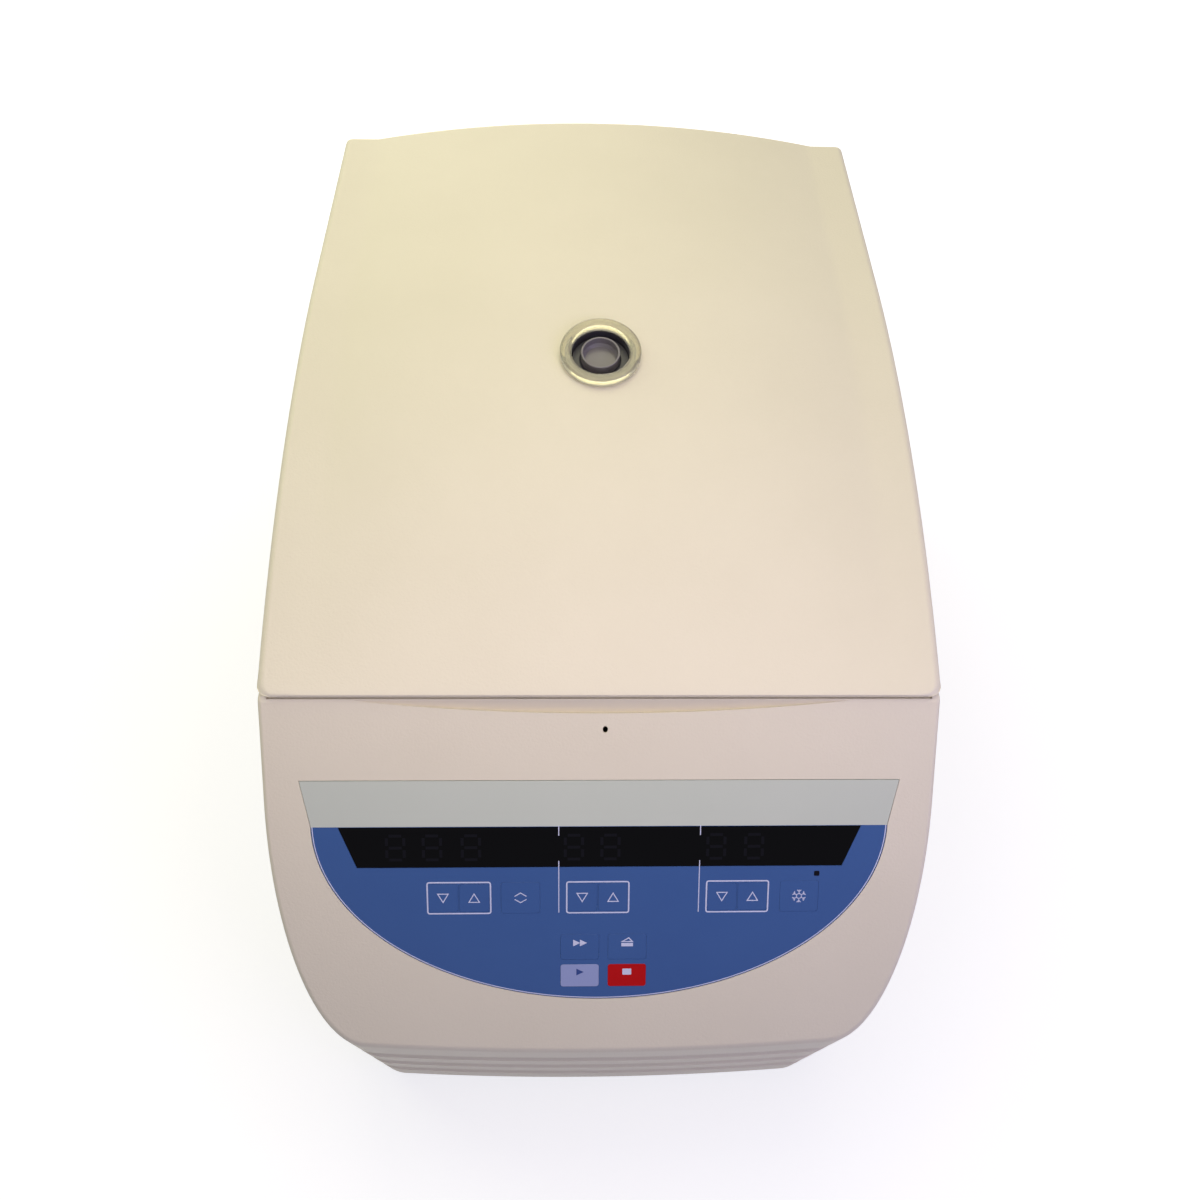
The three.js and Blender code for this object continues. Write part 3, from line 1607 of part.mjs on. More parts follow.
const hub = {
  radius: rotorRadius * rotorShares.hub,
  height: 22,
  boreRadius: 10,
  undercut: 12,
  undercutInner: rotorRadius * rotorShares.undercutInner,
  undercutOuter: rotorRadius * rotorShares.undercutOuter,
};
const spindleHead = { radius: 9.6, boltRadius: 5 };

// The fixed-angle rotor: a deep ring with a conical mouth face and slanting tube sockets bored square to it.
function rotorBody() {
  const { inner, outer, chamfer } = rotorRim;
  const coneDepth = (inner - hub.radius - chamfer) * Math.tan(socketTilt);
  const profile = [
    [hub.boreRadius, 0],
    [hub.undercutInner, 0],
    [hub.undercutInner + hub.undercut / 2, hub.undercut],
    [hub.undercutOuter - hub.undercut / 2, hub.undercut / 2],
    [hub.undercutOuter, 0],
    [rotorRadius - chamfer, 0],
    [rotorRadius, chamfer],
    [rotorRadius, rotorHeight - chamfer],
    [outer, rotorHeight],
    [inner, rotorHeight],
    [inner - coneDepth, rotorHeight - coneDepth],
    [hub.radius, rotorHeight - coneDepth],
    [hub.radius, hub.height],
    [spindleHead.radius + fit, hub.height],
    [hub.boreRadius, hub.height - fit],
  ];
  let body = revolved(profile);
  const bore = revolvedGeometry(
    [
      [0, -socket.depth],
      [socket.tip, -socket.depth],
      [socket.radius, -socket.depth + socket.tipLength],
      [socket.radius, overrun + overrun],
      [0, overrun + overrun],
    ],
    socket.sides,
  );
  for (let i = 0; i < socket.count; i++) {
    const frame = new THREE.Matrix4()
      .makeRotationZ((2 * Math.PI * i) / socket.count)
      .multiply(new THREE.Matrix4().makeTranslation(socketRing.radius, 0, socket.mouthHeight))
      .multiply(new THREE.Matrix4().makeRotationY(-socketTilt));
    body = body.subtract(solidOf(bore.clone().applyMatrix4(frame)));
  }
  return body;
}

function revolvedGeometry(profile, sides) {
  const geometry = new THREE.LatheGeometry(
    profile.map(([radius, height]) => new THREE.Vector2(radius, height)),
    sides,
  );
  return geometry.rotateX(Math.PI / 2);
}

// The drive spindle: the motor's shaft with a seat under the rotor's hub and a threaded nose above it.
function driveSpindle() {
  const low = motor.plateZ + motor.plateThickness + motor.capRadius + 2 * fit - rotorBaseZ;
  const neck = motor.neckTopZ - rotorBaseZ + fit;
  const nose = rotorHeight + overrun;
  return revolved(
    [
      [0, low],
      [spindleRadius, low],
      [spindleRadius, neck],
      [hub.boreRadius + overrun, neck],
      [hub.boreRadius + overrun, -fit],
      [hub.boreRadius - fit, -fit],
      [hub.boreRadius - fit, hub.height - 2 * fit],
      [spindleHead.boltRadius, hub.height],
      [spindleHead.boltRadius, nose],
      [0, nose],
    ],
    midSides,
  );
}

const cap = { edge: rotorRadius * rotorShares.capEdge, thickness: 2.4, rise: 5, centreRadius: 20, centreDepth: 8, rimDrop: 3 };

// The rotor's lid: a spun disc with a turned-down rim and a sunk middle for the knob.
function rotorLid() {
  const low = rotorHeight + fit;
  const top = low + cap.thickness;
  return revolved([
    [spindleHead.boltRadius + fit, low + cap.rise - cap.thickness],
    [cap.centreRadius, low + cap.rise - cap.thickness],
    [rotorRim.inner, low],
    [rotorRim.outer + fit, low],
    [rotorRim.outer + cap.rimDrop, low - cap.thickness / 2],
    [rotorRadius - fit, low - cap.thickness / 2],
    [rotorRadius - fit, low],
    [cap.edge, top + fit],
    [cap.centreRadius + cap.rise, top + cap.rise],
    [cap.centreRadius, top + cap.rise - cap.thickness],
    [spindleHead.boltRadius + fit, top + cap.rise - cap.thickness],
  ]);
}

const knob = { height: 19, grip: 15, waist: 11, lobes: 6, lobeRadius: 3.2, boreDepth: 4 };

// The knob of the rotor's lid, scalloped for the fingers.
function rotorLidKnob() {
  const low = rotorHeight + fit + cap.rise + fit;
  const top = low + knob.height;
  let grip = revolved(
    [
      [0, low + knob.boreDepth],
      [spindleHead.boltRadius + fit, low + knob.boreDepth],
      [spindleHead.boltRadius + fit, low],
      [knob.grip, low],
      [knob.grip, low + knob.boreDepth / 2],
      [knob.waist, low + knob.boreDepth],
      [knob.waist, low + 2 * knob.boreDepth],
      [knob.grip, low + 3 * knob.boreDepth],
      [knob.grip, top - knob.boreDepth / 4],
      [knob.grip - knob.boreDepth / 4, top],
      [0, top],
    ],
    midSides,
  );
  for (let i = 0; i < knob.lobes; i++) {
    const angle = (2 * Math.PI * i) / knob.lobes;
    const reach = knob.grip + knob.lobeRadius / 2;
    const place = [reach * Math.cos(angle), reach * Math.sin(angle)];
    grip = grip.subtract(rod(knob.lobeRadius, place, low + 2 * knob.boreDepth, top + overrun, smallSides));
  }
  return grip;
}

// Assembly

function meshOf(name, solid, look) {
  const made = solid.getMesh();
  const geometry = new THREE.BufferGeometry();
  geometry.setAttribute("position", new THREE.BufferAttribute(made.vertProperties, 3));
  geometry.setIndex(new THREE.BufferAttribute(made.triVerts, 1));
  geometry.computeVertexNormals();
  const mesh = new THREE.Mesh(geometry, new THREE.MeshStandardMaterial({ ...looks[look], flatShading: true }));
  mesh.name = name;
  return mesh;
}

// A group at a place, holding pieces that are drawn about that place.
function groupAt([x, y, z], ...children) {
  const group = new THREE.Group();
  group.position.set(x, y, z);
  group.add(...children);
  return group;
}

function placedMesh([x, y, z], name, solid, look) {
  const mesh = meshOf(name, solid, look);
  mesh.position.set(x, y, z);
  return mesh;
}

const centrifuge = new THREE.Group();
centrifuge.name = "refrigerated_microcentrifuge";

centrifuge.add(
  meshOf("main_housing", mainHousing(), "cream"),
  meshOf("base_plate", basePlate(), "sheet"),
  meshOf("rear_grille", rearGrille(), "darkGrey"),
  meshOf("mains_inlet", mainsInlet(), "blackPaint"),
  meshOf("switch_frame", switchFrame(), "blackPaint"),
  meshOf("condenser", condenserCore(), "fins"),
  meshOf("discharge_line", dischargeLine(), "copper"),
  meshOf("power_board", powerBoard(), "board"),
  meshOf("lock_frame", lockFrame(), "sheet"),
  meshOf("hinge_rod", hingeRod(), "stainless"),
  placedMesh([compressor.x, compressor.y, 0], "compressor", compressorCan(), "blackPaint"),
  placedMesh([-foot.x, foot.frontY, 0], "foot_front_left", rubberFoot(), "rubber"),
  placedMesh([foot.x, foot.frontY, 0], "foot_front_right", rubberFoot(), "rubber"),
  placedMesh([-foot.x, foot.rearY, 0], "foot_rear_left", rubberFoot(), "rubber"),
  placedMesh([foot.x, foot.rearY, 0], "foot_rear_right", rubberFoot(), "rubber"),
  placedMesh([-hingeStationX, 0, 0], "hinge_bracket_left", hingeBracket(), "sheet"),
  placedMesh([hingeStationX, 0, 0], "hinge_bracket_right", hingeBracket(), "sheet"),
);

const chamber = groupAt(
  [0, rotorY, 0],
  meshOf("chamber_bowl", chamberBowl(), "stainless"),
  meshOf("chamber_seal", chamberSeal(), "rubber"),
  meshOf("bowl_insulation", bowlInsulation(), "foam"),
  meshOf("evaporator_coil", evaporatorCoil(), "copper"),
  meshOf("drive_motor", driveMotor(), "blackPaint"),
  meshOf("motor_plate", motorPlate(), "sheet"),
  placedMesh([0, -isolator.circle, 0], "motor_isolator_front", motorIsolator(), "rubber"),
  placedMesh([-isolator.circle, isolator.circle / 2, 0], "motor_isolator_left", motorIsolator(), "rubber"),
  placedMesh([isolator.circle, isolator.circle / 2, 0], "motor_isolator_right", motorIsolator(), "rubber"),
  groupAt(
    [0, 0, rotorBaseZ],
    meshOf("drive_spindle", driveSpindle(), "stainless"),
    meshOf("rotor", rotorBody(), "rotorMetal"),
    meshOf("rotor_lid", rotorLid(), "rotorMetal"),
    meshOf("rotor_lid_knob", rotorLidKnob(), "darkGrey"),
  ),
);
centrifuge.add(chamber);

const panel = groupAt(
  [0, seamY, deckZ],
  meshOf("keypad_overlay", keypadOverlay(), "film"),
  meshOf("display_window", displayWindow(), "smoked"),
  meshOf("control_board", controlBoard(), "board"),
  ...keys.map((key) => placedMesh([key.x, key.y, 0], key.name, keyCap(key), key.look ?? "film")),
);
panel.rotation.x = panelAngle;
centrifuge.add(panel);

const fanGroup = new THREE.Group();
fanGroup.applyMatrix4(fanFrame);
fanGroup.add(meshOf("fan_frame", fanHousing(), "blackPaint"), meshOf("fan_impeller", fanImpeller(), "blackPaint"));
centrifuge.add(fanGroup);

const lockGroup = groupAt([0, lock.axisY, lock.axisZ], meshOf("lock_shaft", lockShaft(), "stainless"));
lockGroup.rotation.x = -releasedAngle;
centrifuge.add(lockGroup);

const rockerGroup = groupAt(
  [mainsSwitch.x, rockerAxisY, mainsSwitch.z],
  meshOf("power_rocker", powerRocker(), "blackPaint"),
);
rockerGroup.rotation.x = -rockerAngle;
centrifuge.add(rockerGroup);

const sightGroup = groupAt(
  [0, rotorY, sightZ],
  meshOf("window_well", windowWell(), "darkGrey"),
  meshOf("window_ring", windowRing(), "clear"),
  meshOf("window_cup", windowCup(), "frosted"),
);
sightGroup.rotation.x = sightSlope;

const lid = new THREE.Group();
lid.add(
  meshOf("lid_cover", lidCover(), "cream"),
  meshOf("lid_liner", lidLiner(), "innerGrey"),
  placedMesh([0, rotorY, 0], "lid_insulation", lidInsulation(), "foam"),
  placedMesh([-striker.x, 0, 0], "striker_left", strikerPlate(), "stainless"),
  placedMesh([striker.x, 0, 0], "striker_right", strikerPlate(), "stainless"),
  placedMesh([-hingeStationX, 0, 0], "hinge_arm_left", hingeArm(), "sheet"),
  placedMesh([hingeStationX, 0, 0], "hinge_arm_right", hingeArm(), "sheet"),
  sightGroup,
);
centrifuge.add(lid);

export default centrifuge;
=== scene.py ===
# A refrigerated benchtop microcentrifuge in its working finishes: textured cream mouldings, a printed key
# film, a sight window in the lid, and the chamber, rotor, drive and cooling parts inside.
# Sizes are in millimetres until a mesh is made; +Z up, front towards -Y.

import math

import bmesh
import bpy
from mathutils import Matrix, Vector


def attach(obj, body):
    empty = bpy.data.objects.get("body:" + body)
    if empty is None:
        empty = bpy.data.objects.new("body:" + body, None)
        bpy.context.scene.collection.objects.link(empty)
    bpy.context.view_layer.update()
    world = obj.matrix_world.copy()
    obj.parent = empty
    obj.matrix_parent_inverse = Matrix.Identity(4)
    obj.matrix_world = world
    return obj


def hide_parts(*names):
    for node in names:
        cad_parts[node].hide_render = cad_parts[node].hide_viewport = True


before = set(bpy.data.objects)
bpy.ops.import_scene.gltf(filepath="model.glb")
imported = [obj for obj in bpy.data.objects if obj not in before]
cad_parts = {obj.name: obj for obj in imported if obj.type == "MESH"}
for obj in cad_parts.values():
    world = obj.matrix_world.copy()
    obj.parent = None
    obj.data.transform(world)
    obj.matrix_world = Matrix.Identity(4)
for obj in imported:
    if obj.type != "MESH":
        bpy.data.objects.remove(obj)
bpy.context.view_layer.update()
collection = bpy.context.scene.collection
millimetre = 0.001

# Camera: held above the front edge and a little left of the middle, turned steeply down on the lid and the
# key panel, as a person stands over the machine.

lens_length = 27.5
sensor_width = 36
camera_place = Vector((-12.3, -280.9, 596.9))
camera_yaw = math.radians(3.08)
camera_pitch = math.radians(57.68)
camera_roll = math.radians(2.748)

toward = Vector((
    math.sin(camera_yaw) * math.cos(camera_pitch),
    math.cos(camera_yaw) * math.cos(camera_pitch),
    -math.sin(camera_pitch),
))
level = Vector((math.cos(camera_yaw), -math.sin(camera_yaw), 0))
upright = level.cross(toward)
image_right = math.cos(camera_roll) * level + math.sin(camera_roll) * upright
image_up = math.cos(camera_roll) * upright - math.sin(camera_roll) * level
camera_data = bpy.data.cameras.new("camera")
camera_data.lens = lens_length
camera_data.sensor_width = sensor_width
camera_data.sensor_fit = "HORIZONTAL"
camera = bpy.data.objects.new("camera", camera_data)
collection.objects.link(camera)
turn = Matrix((image_right, image_up, -toward)).transposed().to_4x4()
camera.matrix_world = Matrix.Translation(camera_place * millimetre) @ turn
bpy.context.scene.camera = camera

# Studio: a white backdrop and table under a warm soft lamp over the rear of the lid, a pale window light at
# the rear left, a violet fill at the front right, two strips over the lid and the panel, and a lamp behind.

bpy.context.scene.view_settings.view_transform = "Standard"


def linear(code):
    """The linear colour of a six-digit sRGB code."""
    parts = [int(code[i:i + 2], 16) / 255 for i in (0, 2, 4)]
    return tuple(
        part / 12.92 if part <= 0.04045 else ((part + 0.055) / 1.055) ** 2.4 for part in parts
    ) + (1,)


def shade(tree, kind, sockets=(), **settings):
    """Adds a node with its settings, and sets or links its inputs, given by name or in their order."""
    node = tree.nodes.new(kind)
    for name, value in settings.items():
        setattr(node, name, value)
    for name, value in sockets.items() if isinstance(sockets, dict) else enumerate(sockets):
        if isinstance(value, bpy.types.NodeSocket):
            tree.links.new(value, node.inputs[name])
        else:
            node.inputs[name].default_value = value
    return node


def seen_directly(tree):
    """1 for rays that come from the camera, straight or by way of a polished or a clear surface."""
    path = shade(tree, "ShaderNodeLightPath").outputs
    share = path["Is Camera Ray"]
    for way in ("Is Glossy Ray", "Is Transmission Ray"):
        share = shade(tree, "ShaderNodeMath", (share, path[way]), operation="MAXIMUM").outputs[0]
    return share


def surface(name):
    """An empty material with its tree."""
    material = bpy.data.materials.new(name)
    material.use_nodes = True
    material.node_tree.nodes.clear()
    return material, material.node_tree


def piece_of(name, points, faces):
    """A mesh piece from points in millimetres."""
    mesh = bpy.data.meshes.new(name)
    mesh.from_pydata([Vector(point) * millimetre for point in points], [], faces)
    mesh.validate()
    piece = bpy.data.objects.new(name, mesh)
    collection.objects.link(piece)
    return piece


def rectangle(x_low, x_high, y_low, y_high):
    return [(x_low, y_low), (x_high, y_low), (x_high, y_high), (x_low, y_high)]


white = (1, 1, 1, 1)
ambient_light = 0.295
world = bpy.data.worlds.new("studio")
world.use_nodes = True
world_tree = world.node_tree
world_tree.nodes.clear()
ambient = shade(world_tree, "ShaderNodeBackground", {"Color": linear("f3efff"), "Strength": ambient_light})
backdrop = shade(world_tree, "ShaderNodeBackground", {"Color": white, "Strength": 1})
room = shade(world_tree, "ShaderNodeMixShader", (
    seen_directly(world_tree),
    ambient.outputs[0],
    backdrop.outputs[0],
))
shade(world_tree, "ShaderNodeOutputWorld", {"Surface": room.outputs[0]})
bpy.context.scene.world = world

# The table shows as white, greyer near the machine, and plainly lit under it, where its own shadow lies.
floor_reach = 3000
floor_glow = 0.69
shadow_near = 260
shadow_far = 900
footprint_middle = 35
footprint_half = (132, 188)
footprint_fade = 0.85
floor_material, floor_tree = surface("white table")
table_top = shade(floor_tree, "ShaderNodeBsdfDiffuse", {"Color": linear("b4b4b4")})
floor_place = shade(floor_tree, "ShaderNodeTexCoord").outputs["Object"]
away = shade(floor_tree, "ShaderNodeVectorMath", (floor_place,), operation="LENGTH").outputs["Value"]
whiteness = shade(floor_tree, "ShaderNodeMapRange", {
    "Value": away,
    "From Min": shadow_near * millimetre,
    "From Max": shadow_far * millimetre,
    "To Min": floor_glow,
}).outputs[0]
footprint_centre = (0, footprint_middle * millimetre, 0)
off_centre = shade(floor_tree, "ShaderNodeVectorMath", (floor_place, footprint_centre), operation="SUBTRACT")
floor_parts = shade(floor_tree, "ShaderNodeSeparateXYZ", off_centre.outputs[:1]).outputs
shares = []
for part, half in zip(floor_parts, footprint_half):
    distance = shade(floor_tree, "ShaderNodeMath", (part,), operation="ABSOLUTE").outputs[0]
    share = shade(floor_tree, "ShaderNodeMath", (distance, half * millimetre), operation="DIVIDE")
    shares.append(share.outputs[0])
outermost = shade(floor_tree, "ShaderNodeMath", shares, operation="MAXIMUM").outputs[0]
in_the_open = shade(floor_tree, "ShaderNodeMapRange", (outermost, footprint_fade)).outputs[0]
glow = seen_directly(floor_tree)
for share in (whiteness, in_the_open):
    glow = shade(floor_tree, "ShaderNodeMath", (glow, share), operation="MULTIPLY").outputs[0]
table_glow = shade(floor_tree, "ShaderNodeEmission", {"Color": white, "Strength": glow})
table_look = shade(floor_tree, "ShaderNodeAddShader", (table_top.outputs[0], table_glow.outputs[0]))
shade(floor_tree, "ShaderNodeOutputMaterial", {"Surface": table_look.outputs[0]})
floor_corners = rectangle(-floor_reach, floor_reach, -floor_reach, floor_reach)
floor = piece_of("floor", [(x, y, 0) for x, y in floor_corners], [(0, 1, 2, 3)])
floor.data.materials.append(floor_material)


def lamp(name, place, target, size, power, code):
    """A soft lamp of a width and depth, facing a target, with its power in watts and its tint."""
    data = bpy.data.lights.new(name, "AREA")
    data.shape = "RECTANGLE"
    data.size = size[0] * millimetre
    data.size_y = size[1] * millimetre
    data.energy = power
    data.color = linear(code)[:3]
    thing = bpy.data.objects.new(name, data)
    facing = (Vector(target) - Vector(place)).to_track_quat("-Z", "Y").to_matrix().to_4x4()
    thing.matrix_world = Matrix.Translation(Vector(place) * millimetre) @ facing
    collection.objects.link(thing)


lamp("rear softbox", (0, 320, 1000), (0, 160, 290), (600, 600), 2.48, "fffbc8")
lamp("left window", (-800, 500, 800), (0, 100, 290), (600, 600), 2.4, "f6ffc8")
lamp("right fill", (700, -600, 700), (0, -100, 250), (600, 600), 3.0, "cdbfff")
lamp("low front strip", (0, -195, 410), (0, -165, 200), (420, 100), 0.2, "fff0f0")
lamp("lid strip", (0, -20, 560), (0, -20, 290), (420, 200), 0.2, "fff0f0")
lamp("back fill", (-250, 1200, 450), (0, 230, 150), (700, 500), 3.5, "fff4e2")

# Cabinet: one moulding of textured cream plastic that carries everything, with a flat deck, a sloping key
# panel, a banded lower wall and side vents. It screws down on a steel floor.

body_width = 290
body_depth = 464
foot_rim = 12.5
panel_foot = 134
panel_run = 122.5
deck = 247.6
wall = 3.5
corner_wide = 40
corner_deep = 85.7
nose_bulge = 3
rear_round = 10
rear_steps = 8
corner_steps = 30
nose_steps = 24
edge_round = 2.4
clearance = 0.3
overrun = 4
half_width = body_width / 2
nose = -body_depth / 2
rear = body_depth / 2
seam = nose + panel_run
panel_slope = math.atan2(deck - panel_foot, panel_run)
panel_place = Matrix.Translation((0, seam, deck)) @ Matrix.Rotation(panel_slope, 4, "X")
along_x = Matrix(((0, 0, 1, 0), (1, 0, 0, 0), (0, 1, 0, 0), (0, 0, 0, 1)))
along_y = Matrix(((0, 1, 0, 0), (0, 0, 1, 0), (1, 0, 0, 0), (0, 0, 0, 1)))
unturned = Matrix()


def arc(centre, radii, start, end, steps):
    """Points on an ellipse between two angles in degrees."""
    points = []
    for step in range(steps + 1):
        angle = math.radians(start + (end - start) * step / steps)
        points.append((centre[0] + radii[0] * math.cos(angle), centre[1] + radii[1] * math.sin(angle)))
    return points


def without_doubles(points, closest=1e-3):
    """The same closed outline with no point twice."""
    kept = []
    for point in points:
        if not kept or math.dist(point, kept[-1]) > closest:
            kept.append(point)
    if math.dist(kept[0], kept[-1]) <= closest:
        kept.pop()
    return kept


def prism(outline, low, high, place=unturned):
    """An anticlockwise outline as a solid between two heights of a place's own frame."""
    count = len(outline)
    points = [place @ Vector((x, y, z)) for z in (low, high) for x, y in outline]
    faces = [tuple(range(count - 1, -1, -1)), tuple(range(count, 2 * count))]
    faces += [(i, (i + 1) % count, (i + 1) % count + count, i + count) for i in range(count)]
    return points, faces


def skin(rings, closed_ends=True):
    """A skin through rings of equal counts, each anticlockwise as seen from the last ring's side."""
    count = len(rings[0])
    points = [point for ring in rings for point in ring]
    faces = []
    for ring in range(len(rings) - 1):
        here = ring * count
        ahead = here + count
        for i in range(count):
            other = (i + 1) % count
            faces.append((here + i, here + other, ahead + other, ahead + i))
    if closed_ends:
        last = (len(rings) - 1) * count
        faces += [tuple(range(count - 1, -1, -1)), tuple(range(last, last + count))]
    return points, faces


def rounded_rectangle(x_low, x_high, y_low, y_high, radius, steps=6):
    """A rectangle with rounded corners, anticlockwise from its right side."""
    inner = rectangle(x_low + radius, x_high - radius, y_low + radius, y_high - radius)
    points = []
    for quarter, corner in enumerate(inner[2:] + inner[:2]):
        points += arc(corner, (radius, radius), 90 * quarter, 90 * quarter + 90, steps)
    return points


def circle(radius, x=0, y=0, sides=64):
    return arc((x, y), (radius, radius), 0, 360, sides)[:-1]


def merged(shapes):
    """Several (points, faces) shapes as one."""
    points = []
    faces = []
    for more_points, more_faces in shapes:
        start = len(points)
        points += more_points
        faces += [tuple(start + i for i in face) for face in more_faces]
    return points, faces


def baked(piece):
    """Turns the piece's modifiers into its own mesh."""
    graph = bpy.context.evaluated_depsgraph_get()
    piece.data = bpy.data.meshes.new_from_object(piece.evaluated_get(graph))
    piece.modifiers.clear()


def combined(piece, shape, operation):
    """Cuts a (points, faces) shape out of the piece, or adds it."""
    tool = piece_of("tool", *shape)
    change = piece.modifiers.new("change", "BOOLEAN")
    change.operation = operation
    change.object = tool
    change.solver = "EXACT"
    baked(piece)
    bpy.data.objects.remove(tool)


def cut(piece, *shapes):
    combined(piece, merged(shapes), "DIFFERENCE")


def edited(piece, change):
    """Applies a change to the piece's mesh in the mesh editor."""
    bm = bmesh.new()
    bm.from_mesh(piece.data)
    change(bm)
    bm.to_mesh(piece.data)
    bm.free()


def facing_outwards(bm):
    bmesh.ops.recalc_face_normals(bm, faces=bm.faces[:])


def form_of(piece):
    """The piece's form as a (points, faces) shape to cut with. The piece itself goes."""
    shape = (
        [corner.co / millimetre for corner in piece.data.vertices],
        [tuple(face.vertices) for face in piece.data.polygons],
    )
    bpy.data.objects.remove(piece)
    return shape


def rounded_edges(piece, radius, segments=3, least_angle=25):
    """Rounds the piece's edges that are sharper than an angle."""
    change = piece.modifiers.new("edges", "BEVEL")
    change.width = radius * millimetre
    change.segments = segments
    change.limit_method = "ANGLE"
    change.angle_limit = math.radians(least_angle)
    change.miter_outer = "MITER_ARC"
    baked(piece)


def smooth(piece, sharpest=30):
    """Shades the piece smooth, with flat faces kept flat and edges over an angle kept sharp."""
    for face in piece.data.polygons:
        face.use_smooth = True
    piece.data.set_sharp_from_angle(angle=math.radians(sharpest))
    change = piece.modifiers.new("flat faces", "WEIGHTED_NORMAL")
    change.keep_sharp = True
    baked(piece)


def dressed(piece, finish, body, node=None):
    """Gives the piece the material of a finish (a slot's name and a material), sets it on its body, and
    hides the node that it stands for.
    """
    slot_name, material = finish
    piece.data.materials.clear()
    piece.data.materials.append(material)
    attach(piece, body)
    if node:
        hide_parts(node)


def pattern(tree, size, detail=2.0, roughness=0.5):
    """A noise whose spots are about `size` millimetres across."""
    place = shade(tree, "ShaderNodeTexCoord").outputs["Object"]
    noise = shade(tree, "ShaderNodeTexNoise", {
        "Vector": place,
        "Scale": 1 / (size * millimetre),
        "Detail": detail,
        "Roughness": roughness,
    })
    return noise.outputs["Fac"]


def finished(tree, codes, tint, relief, roughness, depth, more, strength=1.0):
    """Ends a tree: two colours mixed by a tint, and a relief in millimetres that also varies the gloss."""
    colours = [linear(code) for code in codes]
    colour = shade(tree, "ShaderNodeMix", {0: tint, 6: colours[0], 7: colours[1]}, data_type="RGBA")
    bump = shade(tree, "ShaderNodeBump", {
        "Strength": strength,
        "Distance": depth * millimetre,
        "Height": relief,
    })
    gloss = shade(tree, "ShaderNodeMapRange", {
        "Value": relief,
        "To Min": roughness[0],
        "To Max": roughness[1],
    })
    shader = shade(tree, "ShaderNodeBsdfPrincipled", {
        "Base Color": colour.outputs[2],
        "Roughness": gloss.outputs[0],
        "Normal": bump.outputs[0],
        **more,
    })
    shade(tree, "ShaderNodeOutputMaterial", {"Surface": shader.outputs[0]})


def grained(name, codes, roughness, spread, clouds, grains, depth, more):
    """A skin tinted in clouds and embossed in grains, each given by its size, detail and roughness."""
    material, tree = surface(name)
    least_and_most = (roughness - spread[0], roughness + spread[1])
    finished(tree, codes, pattern(tree, *clouds), pattern(tree, *grains), least_and_most, depth, more)
    return material


def moulding(name, code, other_code, roughness, grain, depth):
    """Injection-moulded plastic with a pebbled skin: grain size and depth in millimetres."""
    return grained(name, (code, other_code), roughness, (0.06, 0.06), (45, 3), (grain, 2.5, 0.55), depth,
                   {"IOR": 1.53})


# The pebbles of a sparked mould break every highlight into a soft satin. They are drawn coarser than real
# ones, so that they show.
cream = "housing", moulding("textured cream moulding", "e0d9c3", "e6dfca", 0.5, 1.1, 0.11)


def plan_outline(inset):
    """The cabinet's plan, drawn in by an inset."""
    side = half_width - inset
    back = rear - inset
    small = rear_round - inset
    corner_x = half_width - corner_wide
    shoulder = nose + nose_bulge
    corner_y = shoulder + corner_deep
    radii = (corner_wide - inset, corner_deep - inset)
    points = arc((side - small, back - small), (small, small), 0, 90, rear_steps)
    points += arc((small - side, back - small), (small, small), 90, 180, rear_steps)
    points += arc((-corner_x, corner_y), radii, 180, 270, corner_steps)
    start = shoulder + inset
    bend = start - 2 * nose_bulge
    for step in range(1, nose_steps):
        share = step / nose_steps
        x = corner_x * (2 * share - 1)
        y = start * (1 - share) ** 2 + 2 * bend * share * (1 - share) + start * share ** 2
        points.append((x, y))
    points += arc((corner_x, corner_y), radii, 270, 360, corner_steps)
    return without_doubles(points)


def cabinet_form(name, inset, bottom):
    """The cabinet's outer form, drawn in by an inset."""
    normal = Vector((0, -math.sin(panel_slope), math.cos(panel_slope)))
    on_panel = Vector((0, seam, deck)) - normal * inset

    def sloped(bm):
        """Takes the corner over the key panel's plane off, and closes the cut."""
        cut_through = bmesh.ops.bisect_plane(
            bm,
            geom=bm.verts[:] + bm.edges[:] + bm.faces[:],
            plane_co=on_panel * millimetre,
            plane_no=normal,
            clear_outer=True,
        )
        rim = [part for part in cut_through["geom_cut"] if isinstance(part, bmesh.types.BMEdge)]
        bmesh.ops.contextual_create(bm, geom=rim)
        facing_outwards(bm)

    piece = piece_of(name, *prism(plan_outline(inset), bottom, deck - inset))
    edited(piece, sloped)
    return piece


housing = cabinet_form("housing", 0, foot_rim)
rounded_edges(housing, edge_round)
cut(housing, form_of(cabinet_form("hollow", wall, foot_rim - overrun)))

groove_count = 3
groove_half = 8
groove_depth = 2.2
groove_steps = 12
groove_rear_margin = 26
groove_reach = rear - groove_rear_margin


def front_path(inset):
    """The plan's outline from the left side round the nose to the right side."""
    points = [point for point in plan_outline(inset) if point[1] < groove_reach - overrun]
    return [(inset - half_width, groove_reach)] + points + [(half_width - inset, groove_reach)]


def groove(middle):
    """A shallow rounded channel round the front and sides, at a height."""
    rings = []
    for step in range(groove_steps + 1):
        turn = math.pi * step / groove_steps
        depth = (groove_depth + clearance) * math.sin(turn) - clearance
        height = middle - groove_half * math.cos(turn)
        outline = front_path(-overrun) + front_path(depth)[::-1]
        rings.append([(x, y, height) for x, y in outline])
    return skin(rings)


band_pitch = (panel_foot - foot_rim) / (groove_count + 1)
cut(housing, *[groove(panel_foot - band_pitch * i) for i in range(1, groove_count + 1)])

